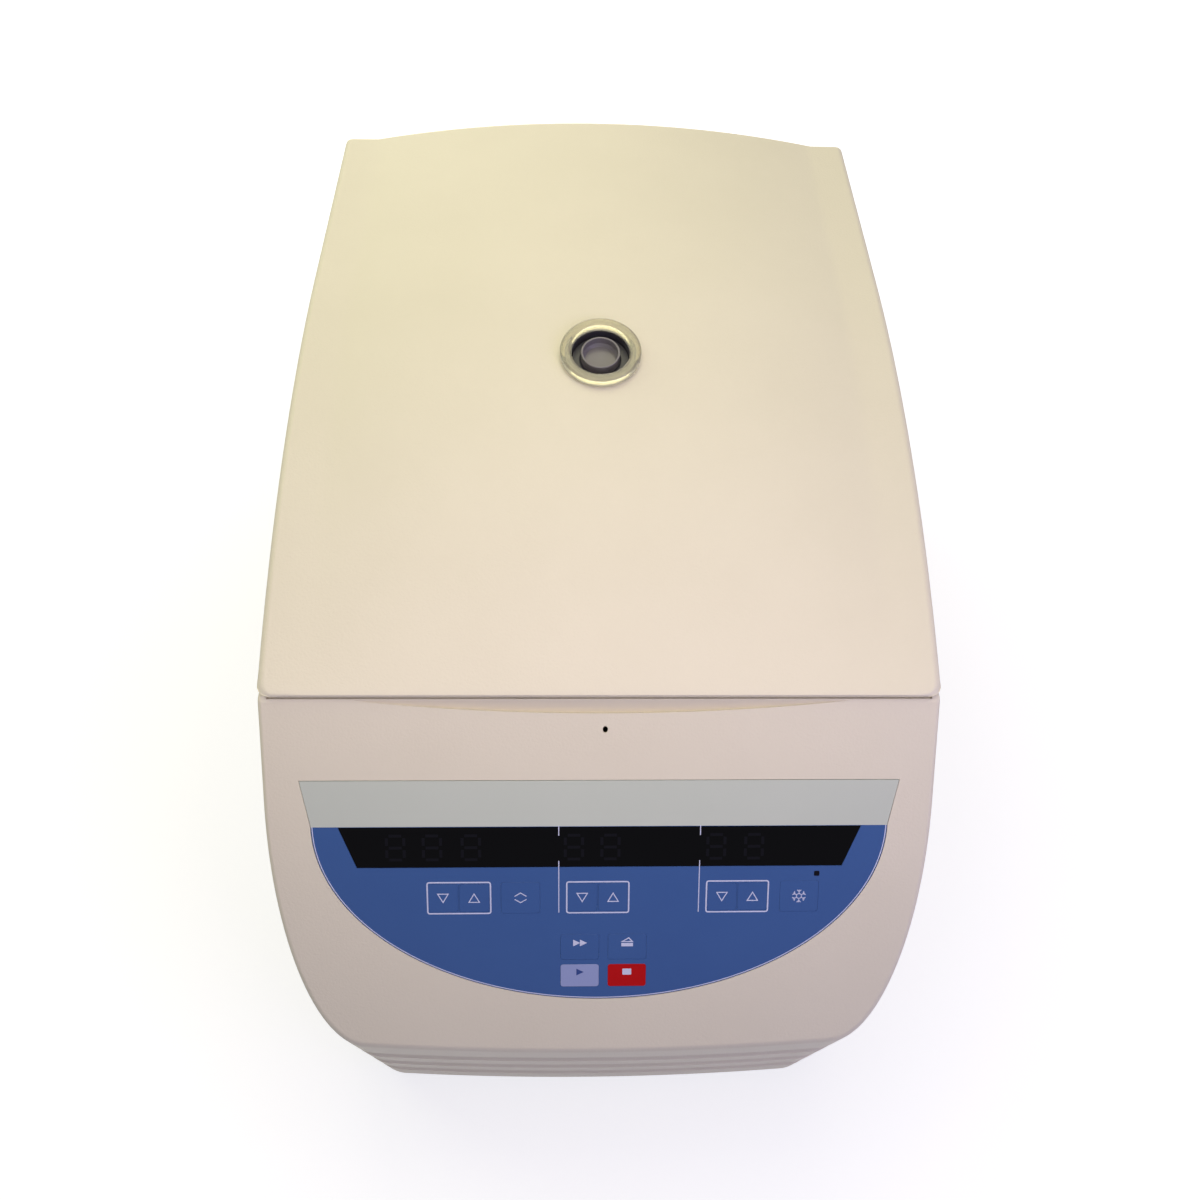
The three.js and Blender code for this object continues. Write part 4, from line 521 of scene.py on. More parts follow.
rotor_y = 45.8
mouth_radius = 104
hinge_y = rear - 5
hinge_z = deck + 7.4
trough_radius = 8.2
striker_x = 35
striker_slot = (seam + 3, seam + 15)
slot_width = 13
vent_count = 10
vent_width = 3.6
vent_pitch = 8.4
vent_first = nose + 106
vent_heights = (46, 101)
vent_rounding = 0.49
mouth_sides = 128
trough_sides = 48
rear_opening = (33 - half_width, half_width - 125, 62, 142)
inlet_place = (half_width - 41, 48)
inlet_size = (27, 20)
switch_place = (half_width - 73, 48)
switch_size = (13, 28)

deck_cut = (deck - wall - overrun, deck + overrun)
mouth = prism(circle(mouth_radius, 0, rotor_y, mouth_sides), *deck_cut)
trough = prism(circle(trough_radius, hinge_y, hinge_z, trough_sides), -body_width, body_width, along_x)
sides = (-1, 1)
slots = []
for side in sides:
    slot_left = side * striker_x - slot_width / 2
    slots.append(prism(rectangle(slot_left, slot_left + slot_width, *striker_slot), *deck_cut))
vents = []
for i in range(vent_count):
    y = vent_first + vent_pitch * i
    ends = rounded_rectangle(y, y + vent_width, *vent_heights, vent_width * vent_rounding)
    vents.append(prism(ends, half_width - wall - overrun, half_width + overrun, along_x))


def rear_hole(x_low, x_high, z_low, z_high):
    return prism(rectangle(z_low, z_high, x_low, x_high), rear - wall - overrun, rear + overrun, along_y)


def fitting_hole(centre, size):
    """A hole in the rear wall for a fitting of a width and height."""
    across = size[0] / 2 + clearance
    up = size[1] / 2 + clearance
    return rear_hole(centre[0] - across, centre[0] + across, centre[1] - up, centre[1] + up)


cut(housing, mouth, trough, *slots, *vents, rear_hole(*rear_opening),
    fitting_hole(inlet_place, inlet_size), fitting_hole(switch_place, switch_size))

# The finger scoop steps in under its lower edge and rises from there to the seam under the lid.
scoop_half = 113
scoop_drop = 6.5
scoop_depth = 3
scoop_undercut = 0.5
scoop_least = 0.02
scoop_rise_start = (0.75, 0.9)
scoop_steps = 48


def scoop_section(x):
    """The scoop's section at an x: heights up the panel and out of it, as a closed outline."""
    share = max(scoop_least, 1 - (x / scoop_half) ** 2)
    drop = scoop_drop * share
    depth = scoop_depth * share
    corners = [(overrun, overrun), (-drop, overrun), (-drop, 0), (-drop - scoop_undercut * share, -depth),
               (-drop * scoop_rise_start[0], -depth * scoop_rise_start[1]),
               (0, -clearance / 3), (overrun, -clearance / 3)]
    return [panel_place @ Vector((x, up, out)) for up, out in corners]


scoop = skin([scoop_section(scoop_half * (2 * i / scoop_steps - 1)) for i in range(scoop_steps + 1)])

film_top = 36.5
band_bottom = 57.4
film_bottom = 140
film_top_half = 129
film_half = 125
film_thickness = 1
display_top = 57.7
display_bottom = 76.3
display_top_half = 113.5
display_bottom_half = 106
display_ledge = 3
release_hole = (1.3, -13.6)
release_radii = (1.1, 1.5)
release_relief = 2.6
release_lip = 0.7
release_sides = 24
film_gap = 0.28
display_gap = 0.12
seam_channel = (0.2, 3.2)
seam_channel_depth = 2.5
seam_channel_half = 141


def film_outline(grow):
    """The key film's outline on the panel: a tapering band over a half ellipse."""
    points = [(film_top_half + grow, grow - film_top), (-film_top_half - grow, grow - film_top)]
    points += arc((0, -band_bottom), (film_half + grow, film_bottom - band_bottom + grow), 180, 360, 96)
    return points


def display_outline(grow):
    upper = (display_top_half + grow, grow - display_top)
    lower = (display_bottom_half + grow, -display_bottom - grow)
    return [(-upper[0], upper[1]), (-lower[0], lower[1]), lower, upper]


arrow_key = (12.8, 12.8)
menu_key = (16.8, 14.4)
upper_key = (16.8, 12)
lower_key = (16.8, 10.6)
setting_row = -90.8
upper_row = -114.6
lower_row = -128.6
left_column = -9.2
right_column = 11.9
key_places = {
    "speed_down": (-69.2, setting_row, arrow_key),
    "speed_up": (-55.6, setting_row, arrow_key),
    "speed_unit": (-35.3, setting_row, menu_key),
    "time_down": (-8.2, setting_row, arrow_key),
    "time_up": (5.4, setting_row, arrow_key),
    "temp_down": (53.5, setting_row, arrow_key),
    "temp_up": (67.1, setting_row, arrow_key),
    "cooling": (87.8, setting_row, menu_key),
    "pulse": (left_column, upper_row, upper_key),
    "open": (right_column, upper_row, upper_key),
    "start": (left_column, lower_row, lower_key),
    "stop": (right_column, lower_row, lower_key),
}
key_corner = 1.2
key_gap = 0.19


def key_outline(key, grow):
    x, y, (width, height) = key_places[key]
    return rounded_rectangle(x - width / 2 - grow, x + width / 2 + grow, y - height / 2 - grow,
                             y + height / 2 + grow, key_corner, 4)


# A narrow channel in the deck runs under the lid's front lip.
channel = rectangle(-seam_channel_half, seam_channel_half, *[seam + reach for reach in seam_channel])
cut(housing, prism(channel, deck - seam_channel_depth, deck + overrun))
cut(housing, scoop)
cut(housing, prism(film_outline(film_gap), -film_thickness - clearance, overrun, panel_place))
release_well = circle(release_relief, *release_hole, release_sides)
cut(housing, prism(release_well, -wall - overrun, -release_lip, panel_place))
release_slot = arc(release_hole, release_radii, 0, 360, release_sides)[:-1]
cut(housing, prism(release_slot, -wall, overrun, panel_place))
cut(housing, prism(display_outline(-display_ledge), -wall - overrun, overrun, panel_place),
    *[prism(key_outline(key, clearance), -wall - overrun, overrun, panel_place) for key in key_places])
smooth(housing)
dressed(housing, cream, "cabinet", "main_housing")

# Lid: one domed moulding over the whole top, flat along both sides, arched from the front lip up to a brow
# and level from there to the hinge. It is a shell that takes the liner, the window and two strikers.

lid_low = deck + 1.4
lid_side = 288
lid_crown = 11.6
lid_lip = 1.3
lid_brow = rear - 121.7
lid_brow_drop = lid_side - lid_low - lid_lip
lid_brow_radius = ((lid_brow - seam) ** 2 + lid_brow_drop ** 2) / (2 * lid_brow_drop)
lid_crease = half_width - 19
lid_wall = 3
lid_edge_round = 4
lid_front_round = 6
lid_lip_round = 0.8
lid_front_bar = 26
lid_round_steps = 4
lid_crown_steps = 22
lid_body_steps = 40
lid_sharpest = 34


def begun(name, sizes):
    """A node tree with its geometry in and out, a named input for each size, and one for the material."""
    tree = bpy.data.node_groups.new(name, "GeometryNodeTree")
    for way in ("INPUT", "OUTPUT"):
        tree.interface.new_socket("Geometry", in_out=way, socket_type="NodeSocketGeometry")
    for size in sizes:
        tree.interface.new_socket(size, in_out="INPUT", socket_type="NodeSocketFloat")
    tree.interface.new_socket("Material", in_out="INPUT", socket_type="NodeSocketMaterial")
    return tree, shade(tree, "NodeGroupInput").outputs


def ended(tree, geometry, given):
    """Ends a tree: its instances made real, in the given material."""
    real = shade(tree, "GeometryNodeRealizeInstances", {"Geometry": geometry}).outputs[0]
    painted = shade(tree, "GeometryNodeSetMaterial", {"Geometry": real, "Material": given["Material"]})
    shade(tree, "NodeGroupOutput", {"Geometry": painted.outputs[0]})


def grown(piece, tree, sizes, material):
    """Runs a tree on the piece, with its sizes in millimetres, and keeps the result as the piece's mesh."""
    change = piece.modifiers.new(tree.name, "NODES")
    change.node_group = tree
    for socket in tree.interface.items_tree:
        if socket.in_out == "INPUT" and socket.name in sizes:
            change[socket.identifier] = sizes[socket.name] * millimetre
        if socket.name == "Material":
            change[socket.identifier] = material
    baked(piece)


def less_square(tree, distance, whole):
    """1 less the square of distance / whole, and never under 0."""
    share = shade(tree, "ShaderNodeMath", (distance, whole), operation="DIVIDE").outputs[0]
    square = shade(tree, "ShaderNodeMath", (share, 2.0), operation="POWER").outputs[0]
    rest = shade(tree, "ShaderNodeMath", (1.0, square), operation="SUBTRACT").outputs[0]
    return shade(tree, "ShaderNodeMath", (rest, 0.0), operation="MAXIMUM").outputs[0]


lid_sizes = {
    "Side height": lid_side,
    "Crown": lid_crown,
    "Brow radius": lid_brow_radius,
    "Brow place": lid_brow,
    "Front place": seam,
    "Crease place": lid_crease,
}


def dome_tree():
    """Lifts a flat slab to the lid's dome, each point by its share, and never under its least height."""
    tree, given = begun("lid dome", lid_sizes)
    place = shade(tree, "GeometryNodeInputPosition").outputs[0]
    x, y, z = shade(tree, "ShaderNodeSeparateXYZ", (place,)).outputs
    values = {"x": x, "y": y, "z": z, "nought": 0.0}
    for name in lid_sizes:
        values[name] = given[name]
    for name in ("dome_share", "least_height"):
        values[name] = shade(tree, "GeometryNodeInputNamedAttribute", {"Name": name}).outputs[0]

    def reckoned(steps):
        """Runs sums one after another: what each gives, how, and from which two values."""
        for result, operation, *taken in steps:
            sockets = [values[name] for name in taken]
            values[result] = shade(tree, "ShaderNodeMath", sockets, operation=operation).outputs[0]

    reckoned([
        ("ahead", "SUBTRACT", "Brow place", "y"),
        ("ahead", "MAXIMUM", "ahead", "nought"),
        ("run", "SUBTRACT", "Brow place", "Front place"),
    ])
    values["fall"] = less_square(tree, values["ahead"], values["run"])
    values["arch"] = less_square(tree, x, given["Crease place"])
    reckoned([
        ("ahead squared", "MULTIPLY", "ahead", "ahead"),
        ("radius squared", "MULTIPLY", "Brow radius", "Brow radius"),
        ("reach squared", "SUBTRACT", "radius squared", "ahead squared"),
        ("reach", "SQRT", "reach squared"),
        ("centre", "SUBTRACT", "Side height", "Brow radius"),
        ("strip", "ADD", "centre", "reach"),
        ("crown", "MULTIPLY", "Crown", "fall"),
        ("bulge", "MULTIPLY", "crown", "arch"),
        ("dome", "ADD", "strip", "bulge"),
        ("lift", "MULTIPLY", "dome", "dome_share"),
        ("lifted", "ADD", "z", "lift"),
        ("height", "MAXIMUM", "lifted", "least_height"),
    ])
    target = shade(tree, "ShaderNodeCombineXYZ", (x, y, values["height"])).outputs[0]
    lifted = shade(tree, "GeometryNodeSetPosition", {"Geometry": given["Geometry"], "Position": target})
    ended(tree, lifted.outputs[0], given)
    return tree


lid_dome = dome_tree()


def lid_ring(y, inset, top_drop, bottom, round_radius):
    """One cross-section of the slab: (point, dome share, least height) for each corner."""
    side = half_width - inset
    least = bottom + lid_lip_round / 2
    right = [((side, y, bottom), 0, bottom), ((side, y, -top_drop - round_radius), 1, least)]
    for step in range(1, lid_round_steps + 1):
        angle = math.pi / 2 * step / lid_round_steps
        x = side - round_radius * (1 - math.cos(angle))
        right.append(((x, y, -top_drop - round_radius * (1 - math.sin(angle))), 1, least))
    top = []
    for step in range(-lid_crown_steps, lid_crown_steps + 1):
        top.append(((-lid_crease * step / lid_crown_steps, y, -top_drop), 1, least))
    left = [((-x, y, z), share, floor_height) for (x, y, z), share, floor_height in reversed(right)]
    return right + top + left


def end_draw(distance, radius):
    """How far a rounded end has drawn in at a distance from its face."""
    return 0 if distance >= radius else radius - math.sqrt(radius ** 2 - (radius - distance) ** 2)


def domed(name, rings):
    """A closed slab through rings, lifted to the lid's dome by its node tree."""
    ordered = [[corner[0] for corner in ring][::-1] for ring in rings]
    piece = piece_of(name, *skin(ordered))
    corners = [corner for ring in rings for corner in ring[::-1]]
    shares = piece.data.attributes.new("dome_share", "FLOAT", "POINT")
    shares.data.foreach_set("value", [share for _, share, _ in corners])
    heights = piece.data.attributes.new("least_height", "FLOAT", "POINT")
    heights.data.foreach_set("value", [least * millimetre for _, _, least in corners])
    grown(piece, lid_dome, lid_sizes, cream[1])
    return piece


end_shares = (0, 0.06, 0.2, 0.4, 0.68, 1)
lid_rings = []
for share in end_shares:
    distance = share * lid_front_round
    lid_rings.append(lid_ring(seam + distance, end_draw(distance, lid_front_round),
                              end_draw(distance, lid_lip_round), lid_low, lid_edge_round))
for step in range(1, lid_body_steps + 1):
    y = seam + lid_front_round + (lid_brow - seam - lid_front_round) * step / lid_body_steps
    lid_rings.append(lid_ring(y, 0, 0, lid_low, lid_edge_round))
for share in reversed(end_shares):
    distance = share * lid_edge_round
    draw = end_draw(distance, lid_edge_round)
    lid_rings.append(lid_ring(rear - distance, draw, draw, lid_low, lid_edge_round))
lid = domed("lid", lid_rings)

hollow_rings = []
hollow_start = seam + lid_front_bar
hollow_places = [
    hollow_start + (lid_brow - hollow_start) * step / lid_body_steps for step in range(lid_body_steps + 1)
]
for y in hollow_places + [rear - lid_wall]:
    hollow_rings.append(lid_ring(y, lid_wall, lid_wall, lid_low - overrun, lid_edge_round - lid_wall))
cut(lid, form_of(domed("lid hollow", hollow_rings)))


def lid_top(y):
    """Height of the lid's middle line."""
    ahead = max(0, lid_brow - y)
    strip = lid_side - lid_brow_radius + math.sqrt(lid_brow_radius ** 2 - ahead ** 2)
    return strip + lid_crown * max(0, 1 - (ahead / (lid_brow - seam)) ** 2)


sight_slope = math.atan2(lid_top(rotor_y + 1) - lid_top(rotor_y - 1), 2)
sight_place = Matrix.Translation((0, rotor_y, lid_top(rotor_y))) @ Matrix.Rotation(sight_slope, 4, "X")
well_outer = 16.6
well_reach = 12
hinge_station = half_width - 50
notch_half = 24
notch_rise = 7
striker_y = seam + 8
striker_half = 4.5
striker_thickness = 3
striker_pocket = 3.1


def block(low, high):
    return prism(rectangle(low[0], high[0], low[1], high[1]), low[2], high[2])


cut(lid, prism(circle(well_outer + clearance), -well_reach, well_reach, sight_place))
for side in sides:
    station = side * hinge_station
    middle = side * striker_x
    pocket_half = striker_half + clearance
    pocket_reach = striker_thickness / 2 + clearance
    cut(
        lid,
        block((station - notch_half, rear - lid_wall - overrun, lid_low - overrun),
              (station + notch_half, rear + overrun, hinge_z + notch_rise)),
        block((middle - pocket_half, striker_y - pocket_reach, lid_low - overrun),
              (middle + pocket_half, striker_y + pocket_reach, lid_low + striker_pocket)),
    )
smooth(lid, lid_sharpest)
dressed(lid, cream, "lid", "lid_cover")

# Key film: one printed polyester sheet in a shallow pocket of the panel, a pale grey header over a blue
# half ellipse, with windows for the display and the keys. Its prints are ink on the outer face, and a white
# line along the blue's curved edge is a painted highlight.


def film_finish(name, code, other_code, specular=0.2):
    """Printed polyester with a fine matt texture."""
    more = {"IOR": 1.58, "Specular IOR Level": specular}
    return grained(name, (code, other_code), 0.34, (0.05, 0.05), (30, 2), (0.35, 2), 0.006, more)


# The film's colours lie even under one matt skin. The inks are films of the same kind.
film_blue = "panel_film", film_finish("blue printed polyester", "345792", "395d97")
film_grey = "panel_film", film_finish("pale grey printed polyester", "c7cfc1", "cbd2c5")
film_start = "start_film", film_finish("lavender key print", "939fca", "98a4ce")
film_stop = "stop_film", film_finish("red key print", "b8000a", "be060e", specular=0.1)
ink_white = film_finish("white ink", "cdd3ec", "d6dbf0")
ink_navy = film_finish("navy ink", "2c4380", "304888")

split_normal = Vector((0, math.cos(panel_slope), math.sin(panel_slope)))
split_point = panel_place @ Vector((0, -band_bottom, 0))


def two_toned(bm):
    """Splits the film where the grey header ends, and gives the header the second material."""
    bmesh.ops.bisect_plane(bm, geom=bm.verts[:] + bm.edges[:] + bm.faces[:],
                           plane_co=split_point * millimetre, plane_no=split_normal)
    for face in bm.faces:
        above = (face.calc_center_median() / millimetre - split_point).dot(split_normal) > 0
        face.material_index = 1 if above else 0


film = piece_of("key_film", *prism(without_doubles(film_outline(0)), -film_thickness, 0, panel_place))
windows = [display_outline(display_gap)] + [key_outline(key, key_gap) for key in key_places]
cut(film, *[prism(window, -film_thickness - overrun, overrun, panel_place) for window in windows])
dressed(film, film_blue, "cabinet", "keypad_overlay")
edited(film, two_toned)
film.data.materials.append(film_grey[1])

ink_low = -0.06
ink_high = 0.03
longest_mitre = 3
sharpest_turn = 0.2


def along(points, width, closed=False):
    """The two edges of a line of a width through points, with its corners mitred."""
    count = len(points)
    edges = []
    for i, point in enumerate(points):
        before = points[i - 1] if closed or i > 0 else point
        after = points[(i + 1) % count] if closed or i < count - 1 else point
        directions = []
        for start, end in ((before, point), (point, after)):
            length = math.dist(start, end)
            if length > 0:
                directions.append(((end[0] - start[0]) / length, (end[1] - start[1]) / length))
        first, last = directions[0], directions[-1]
        normal = Vector((-(first[1] + last[1]), first[0] + last[0])).normalized()
        stretch = min(longest_mitre, 1 / max(sharpest_turn, normal.dot(Vector((-first[1], first[0])))))
        reach = normal * (width / 2 * stretch)
        edges.append((
            (point[0] + reach.x, point[1] + reach.y),
            (point[0] - reach.x, point[1] - reach.y),
        ))
    return edges


def line(points, width, closed=False, low=ink_low, high=ink_high):
    """A thin raised line through points of the panel."""
    edges = along(points, width, closed)
    count = len(edges)
    corners = []
    for left, right in edges:
        corners += [(*left, high), (*right, high), (*right, low), (*left, low)]
    faces = []
    for i in range(count if closed else count - 1):
        here = 4 * i
        ahead = 4 * ((i + 1) % count)
        for edge in range(4):
            other = (edge + 1) % 4
            faces.append((here + edge, here + other, ahead + other, ahead + edge))
    if not closed:
        end = 4 * (count - 1)
        faces += [(3, 2, 1, 0), (end, end + 1, end + 2, end + 3)]
    return [panel_place @ Vector(corner) for corner in corners], faces


def patch(outline, low=ink_low, high=ink_high):
    """A thin raised patch on the panel."""
    return prism(outline, low, high, panel_place)


def print_piece(name, body, finish, shapes):
    """One piece of print from several lines and patches."""
    piece = piece_of(name, *merged(shapes))
    edited(piece, facing_outwards)
    dressed(piece, finish, body)


frame_line = 0.62
frame_corner = 0.9
frame_steps = 3
frame_top = 83.4
frame_bottom = 98.1
frame_sides = [(-76, -48.4), (-15, 12.3), (46.6, 74)]
print_and_glint_lines = []
for ends in frame_sides:
    outline = rounded_rectangle(*ends, -frame_bottom, -frame_top, frame_corner, frame_steps)
    print_and_glint_lines.append(line(outline, frame_line, closed=True))
thin_line = 0.4
separator_x = (-18.5, 43.2)
separator_top = 73.5
separator_bottom = 98
tick_ends = (display_top + 4, display_top - 0.6)
tick_high = 0.05
for x in separator_x:
    print_and_glint_lines.append(line([(x, -separator_bottom), (x, -separator_top)], thin_line))
    print_and_glint_lines.append(line([(x, -down) for down in tick_ends], thin_line, low=0, high=tick_high))
# A white ink line just inside the blue's curved edge is a painted highlight of the film's cut edge.
glint_margin = 0.5
glint_radii = (film_half - glint_margin, film_bottom - band_bottom - glint_margin)
print_and_glint_lines.append(line(arc((0, -band_bottom), glint_radii, 180, 360, 120), thin_line))
print_piece("film_prints_and_glint", "cabinet", ("panel_film", ink_white), print_and_glint_lines)

# Display: one smoked acrylic strip bedded in the film over three groups of unlit seven-bar digits, with a
# small dark lamp of the cooling state below its right end.

digit_low = 60.9
digit_tall = 12.4
digit_wide = 8.8
digit_lefts = (-93.6, -77.8, -61.0, -16.3, -0.4, 45.9, 62.5)
bar = 1.3
bar_gap = 0.35
bar_low = -0.05
bar_high = 0.012
display_edge = 0.15
smoked_gloss = 0.05


def smoked(name, code, roughness):
    """Dark glossy acrylic with faint polishing waves."""
    material, tree = surface(name)
    waves = pattern(tree, 12, 2)
    gloss = shade(tree, "ShaderNodeMapRange", {
        "Value": waves,
        "To Min": roughness,
        "To Max": roughness + 0.05,
    })
    shader = shade(tree, "ShaderNodeBsdfPrincipled", {
        "Base Color": linear(code),
        "Roughness": gloss.outputs[0],
        "IOR": 1.49,
        "Specular IOR Level": smoked_gloss,
    })
    shade(tree, "ShaderNodeOutputMaterial", {"Surface": shader.outputs[0]})
    return material


# The strip is almost black, so that the unlit bars show as a trace only.
smoked_acrylic = "display_window", smoked("smoked acrylic", "050508", 0.12)
unlit_bars = "display_window", smoked("unlit digit bars", "111118", 0.2)
lamp_lens = "display_window", smoked("dark lamp lens", "100f18", 0.25)

display_plate = piece_of("display_strip", *prism(display_outline(0), -film_thickness, 0, panel_place))
rounded_edges(display_plate, display_edge, 2)
smooth(display_plate)
dressed(display_plate, smoked_acrylic, "cabinet", "display_window")


def digit_bars(left):
    """The seven bars of one digit."""
    right = left + digit_wide
    high = -digit_low
    low = high - digit_tall
    middle = (high + low) / 2
    inner = bar / 2 + bar_gap
    segments = []
    for y in (high - bar / 2, middle, low + bar / 2):
        segments.append([(left + inner + bar / 2, y), (right - inner - bar / 2, y)])
    for x in (left + bar / 2, right - bar / 2):
        segments.append([(x, middle + inner), (x, high - bar / 2 - inner)])
        segments.append([(x, low + bar / 2 + inner), (x, middle - inner)])
    return [line(points, bar, low=bar_low, high=bar_high) for points in segments]


all_bars = [shape for left in digit_lefts for shape in digit_bars(left)]
print_piece("digit_bars", "cabinet", unlit_bars, all_bars)
state_lamp_x = 95.2
state_lamp_y = -80
state_lamp_half = 1.15
state_lamp_corner = 0.4
state_lamp_proud = 0.12
lens = rounded_rectangle(
    state_lamp_x - state_lamp_half, state_lamp_x + state_lamp_half,
    state_lamp_y - state_lamp_half, state_lamp_y + state_lamp_half,
    state_lamp_corner, 3,
)
print_piece("state_lamp", "cabinet", lamp_lens, [patch(lens, high=state_lamp_proud)])

# Keys: twelve flat polyester caps flush with the film, each printed with a plain mark and moulded on a stem
# that rides on its own switch.

cap_depth = 2.5
cap_proud = 0.02
cap_gap = 0.12
cap_edge = 0.05
stem_radius = 2.5
stem_end = -7.2
stem_sides = 24

# The marks are drawn round their own middle. Those of the lower block stand a little above their key's.
mark_line = 0.42
mark_rise = 0.16
arrow = [(-2.3, -1.978), (2.3, -1.978), (0, 1.978)]
chevron = [(-2.6, 0.7), (0, 2.3), (2.6, 0.7)]
play_sign = [(-0.45, -0.5), (0.55, 0), (-0.45, 0.5)]
play_size = 3.3
pulse_size = 3.2
pulse_shift = 1.5
stop_sign = rounded_rectangle(-2, 2, -1.5, 1.5, 0.4, 3)
box_sign = rectangle(-2.6, 2.6, -1.8, -0.2)
lid_sign = [(-2.3, 0.5), (0.7, 2.3), (2.3, 0.5)]
lid_line = 0.5
flake_radius = 3
flake_line = 0.36
flake_arms = 6
flake_turn = 30
root_share = 0.42
fork_share = 0.68
tine_share = 0.98
tine_spread = 0.3


def moved(outline, x, y, wide=1, tall=1):
    """An outline at a size and a place of the panel."""
    return [(x + across * wide, y + up * tall) for across, up in outline]


def snowflake(x, y):
    """Six arms with a small fork each, and the ring that they stand on."""
    centre = Vector((x, y))
    arms = []
    ring = []
    for i in range(flake_arms):
        angle = math.radians(360 / flake_arms * i + flake_turn)
        outward = Vector((math.cos(angle), math.sin(angle))) * flake_radius
        across = Vector((-outward.y, outward.x)) * tine_spread
        root = centre + outward * root_share
        tines = centre + outward * tine_share
        ring.append(root)
        arms.append([root, centre + outward])
        arms.append([tines + across, centre + outward * fork_share, tines - across])
    return arms, ring


def key_marks(key):
    """The print of one key, as shapes on the panel."""
    x, y, (_, height) = key_places[key]
    drawn = {"low": cap_proud + ink_low, "high": cap_proud + ink_high}
    upper = y + height * mark_rise
    if key.endswith("_up"):
        return [line(moved(arrow, x, y), mark_line, closed=True, **drawn)]
    if key.endswith("_down"):
        return [line(moved(arrow, x, y, tall=-1)[::-1], mark_line, closed=True, **drawn)]
    if key == "speed_unit":
        return [line(moved(chevron, x, y, tall=side), mark_line, **drawn) for side in sides]
    if key == "cooling":
        arms, ring = snowflake(x, y)
        closed_ring = line(ring, flake_line, closed=True, **drawn)
        return [line(arm, flake_line, **drawn) for arm in arms] + [closed_ring]
    if key == "pulse":
        return [patch(moved(play_sign, x + side * pulse_shift, upper, pulse_size, pulse_size), **drawn)
                for side in sides]
    if key == "open":
        raised = line(moved(lid_sign, x, upper), lid_line, closed=True, **drawn)
        return [patch(moved(box_sign, x, upper), **drawn), raised]
    if key == "start":
        return [patch(moved(play_sign, x, upper, play_size, play_size), **drawn)]
    return [patch(moved(stop_sign, x, upper), **drawn)]


key_finishes = {"start": (film_start, ink_navy), "stop": (film_stop, ink_white)}
for key, (x, y, _) in key_places.items():
    cap_finish, ink = key_finishes.get(key, (film_blue, ink_white))
    cap = piece_of(f"{key}_cap", *prism(key_outline(key, cap_gap), -cap_depth, cap_proud, panel_place))
    rounded_edges(cap, cap_edge, 1)
    stem = prism(circle(stem_radius, x, y, stem_sides), stem_end, clearance - cap_depth, panel_place)
    combined(cap, stem, "UNION")
    smooth(cap)
    dressed(cap, cap_finish, f"{key}_key", f"{key}_key")
    print_piece(f"{key}_mark", f"{key}_key", (cap_finish[0], ink), key_marks(key))

# Sight window: a dark moulded well through the lid, a polished clear ring round its mouth, and a frosted
# cup on a thin flange that a light probe is held to. The flange is coloured dark grey as painted shade.

window_sides = 72


def turned(profile, steps, place=unturned):
    """A closed profile of (radius, height) points turned about a place's own Z axis."""
    points = []
    rows = []
    for radius, height in profile:
        if radius == 0:
            rows.append([len(points)] * steps)
            points.append(place @ Vector((0, 0, height)))
            continue
        rows.append(list(range(len(points), len(points) + steps)))
        for i in range(steps):
            angle = 2 * math.pi * i / steps
            points.append(place @ Vector((radius * math.cos(angle), radius * math.sin(angle), height)))
    faces = []
    for row, other in zip(rows, rows[1:] + rows[:1]):
        for i in range(steps):
            after = (i + 1) % steps
            corners = (row[i], row[after], other[after], other[i])
            face = tuple(dict.fromkeys(corners))
            if len(face) > 2:
                faces.append(face)
    return points, faces


def turned_piece(name, body, node, finish, profile, place, steps=window_sides, sharpest=30):
    """A turned piece that stands for one node."""
    piece = piece_of(name, *turned(profile, steps, place))
    edited(piece, facing_outwards)
    smooth(piece, sharpest)
    dressed(piece, finish, body, node)
    return piece


def clear_plastic(name, code, edge_shade_code, roughness, share, grain):
    """Clear or frosted plastic that lets a share of the light through. Its colour darkens where it is seen
    edge-on, as painted shade.
    """
    material, tree = surface(name)
    painted_edge_shade = shade(tree, "ShaderNodeLayerWeight", {"Blend": 0.35}).outputs["Facing"]
    finished(tree, (code, edge_shade_code), painted_edge_shade, pattern(tree, grain, 2), (roughness, roughness * 1.3), 0.01,
             {"Transmission Weight": share, "IOR": 1.49}, strength=0.6)
    return material


# The ring is turned and polished, so its rounded edge glints. The frosted cup scatters what light it gets.
dark_grey = "dark_moulding", moulding("dark grey moulding", "3c3b42", "413f46", 0.42, 0.5, 0.02)
# The second colour of the ring and of the cup is painted shade, where each is seen edge-on.
acrylic = clear_plastic("polished clear acrylic", "e6e0c4", "6c6866", 0.06, 0.75, 2.0)
clear_acrylic = "clear_plastic", acrylic
frosted = "frosted_plastic", clear_plastic("frosted grey plastic", "989395", "8c888c", 0.3, 0.45, 0.6)

ring_outer = 19.1
ring_inner = 13.8
ring_low = 0.5
ring_top = 3.9
ring_edge = 1.7
well_inner = 13.6
ledge_drop = 5
ledge_width = 1.6
liner_height = 254.6
well_step = well_inner - ledge_width
well_bottom = liner_height - lid_top(rotor_y) - clearance
ring_profile = [(ring_inner, ring_low), (ring_outer, ring_low), (ring_outer, ring_top - ring_edge)]
ring_profile += arc((ring_outer - ring_edge, ring_top - ring_edge), (ring_edge, ring_edge), 0, 90, 8)[1:]
ring_profile += arc((ring_inner + ring_edge, ring_top - ring_edge), (ring_edge, ring_edge), 90, 180, 8)
turned_piece("sight_ring", "lid", "window_ring", clear_acrylic, ring_profile, sight_place, sharpest=40)
well_profile = [(well_inner, 0), (well_inner, -ledge_drop), (well_step, -ledge_drop),
                (well_step, -ledge_drop - ledge_width), (well_inner, -ledge_drop - 2 * ledge_width),
                (well_inner, well_bottom), (well_outer, well_bottom), (well_outer, 0)]
turned_piece("sight_well", "lid", "window_well", dark_grey, well_profile, sight_place)

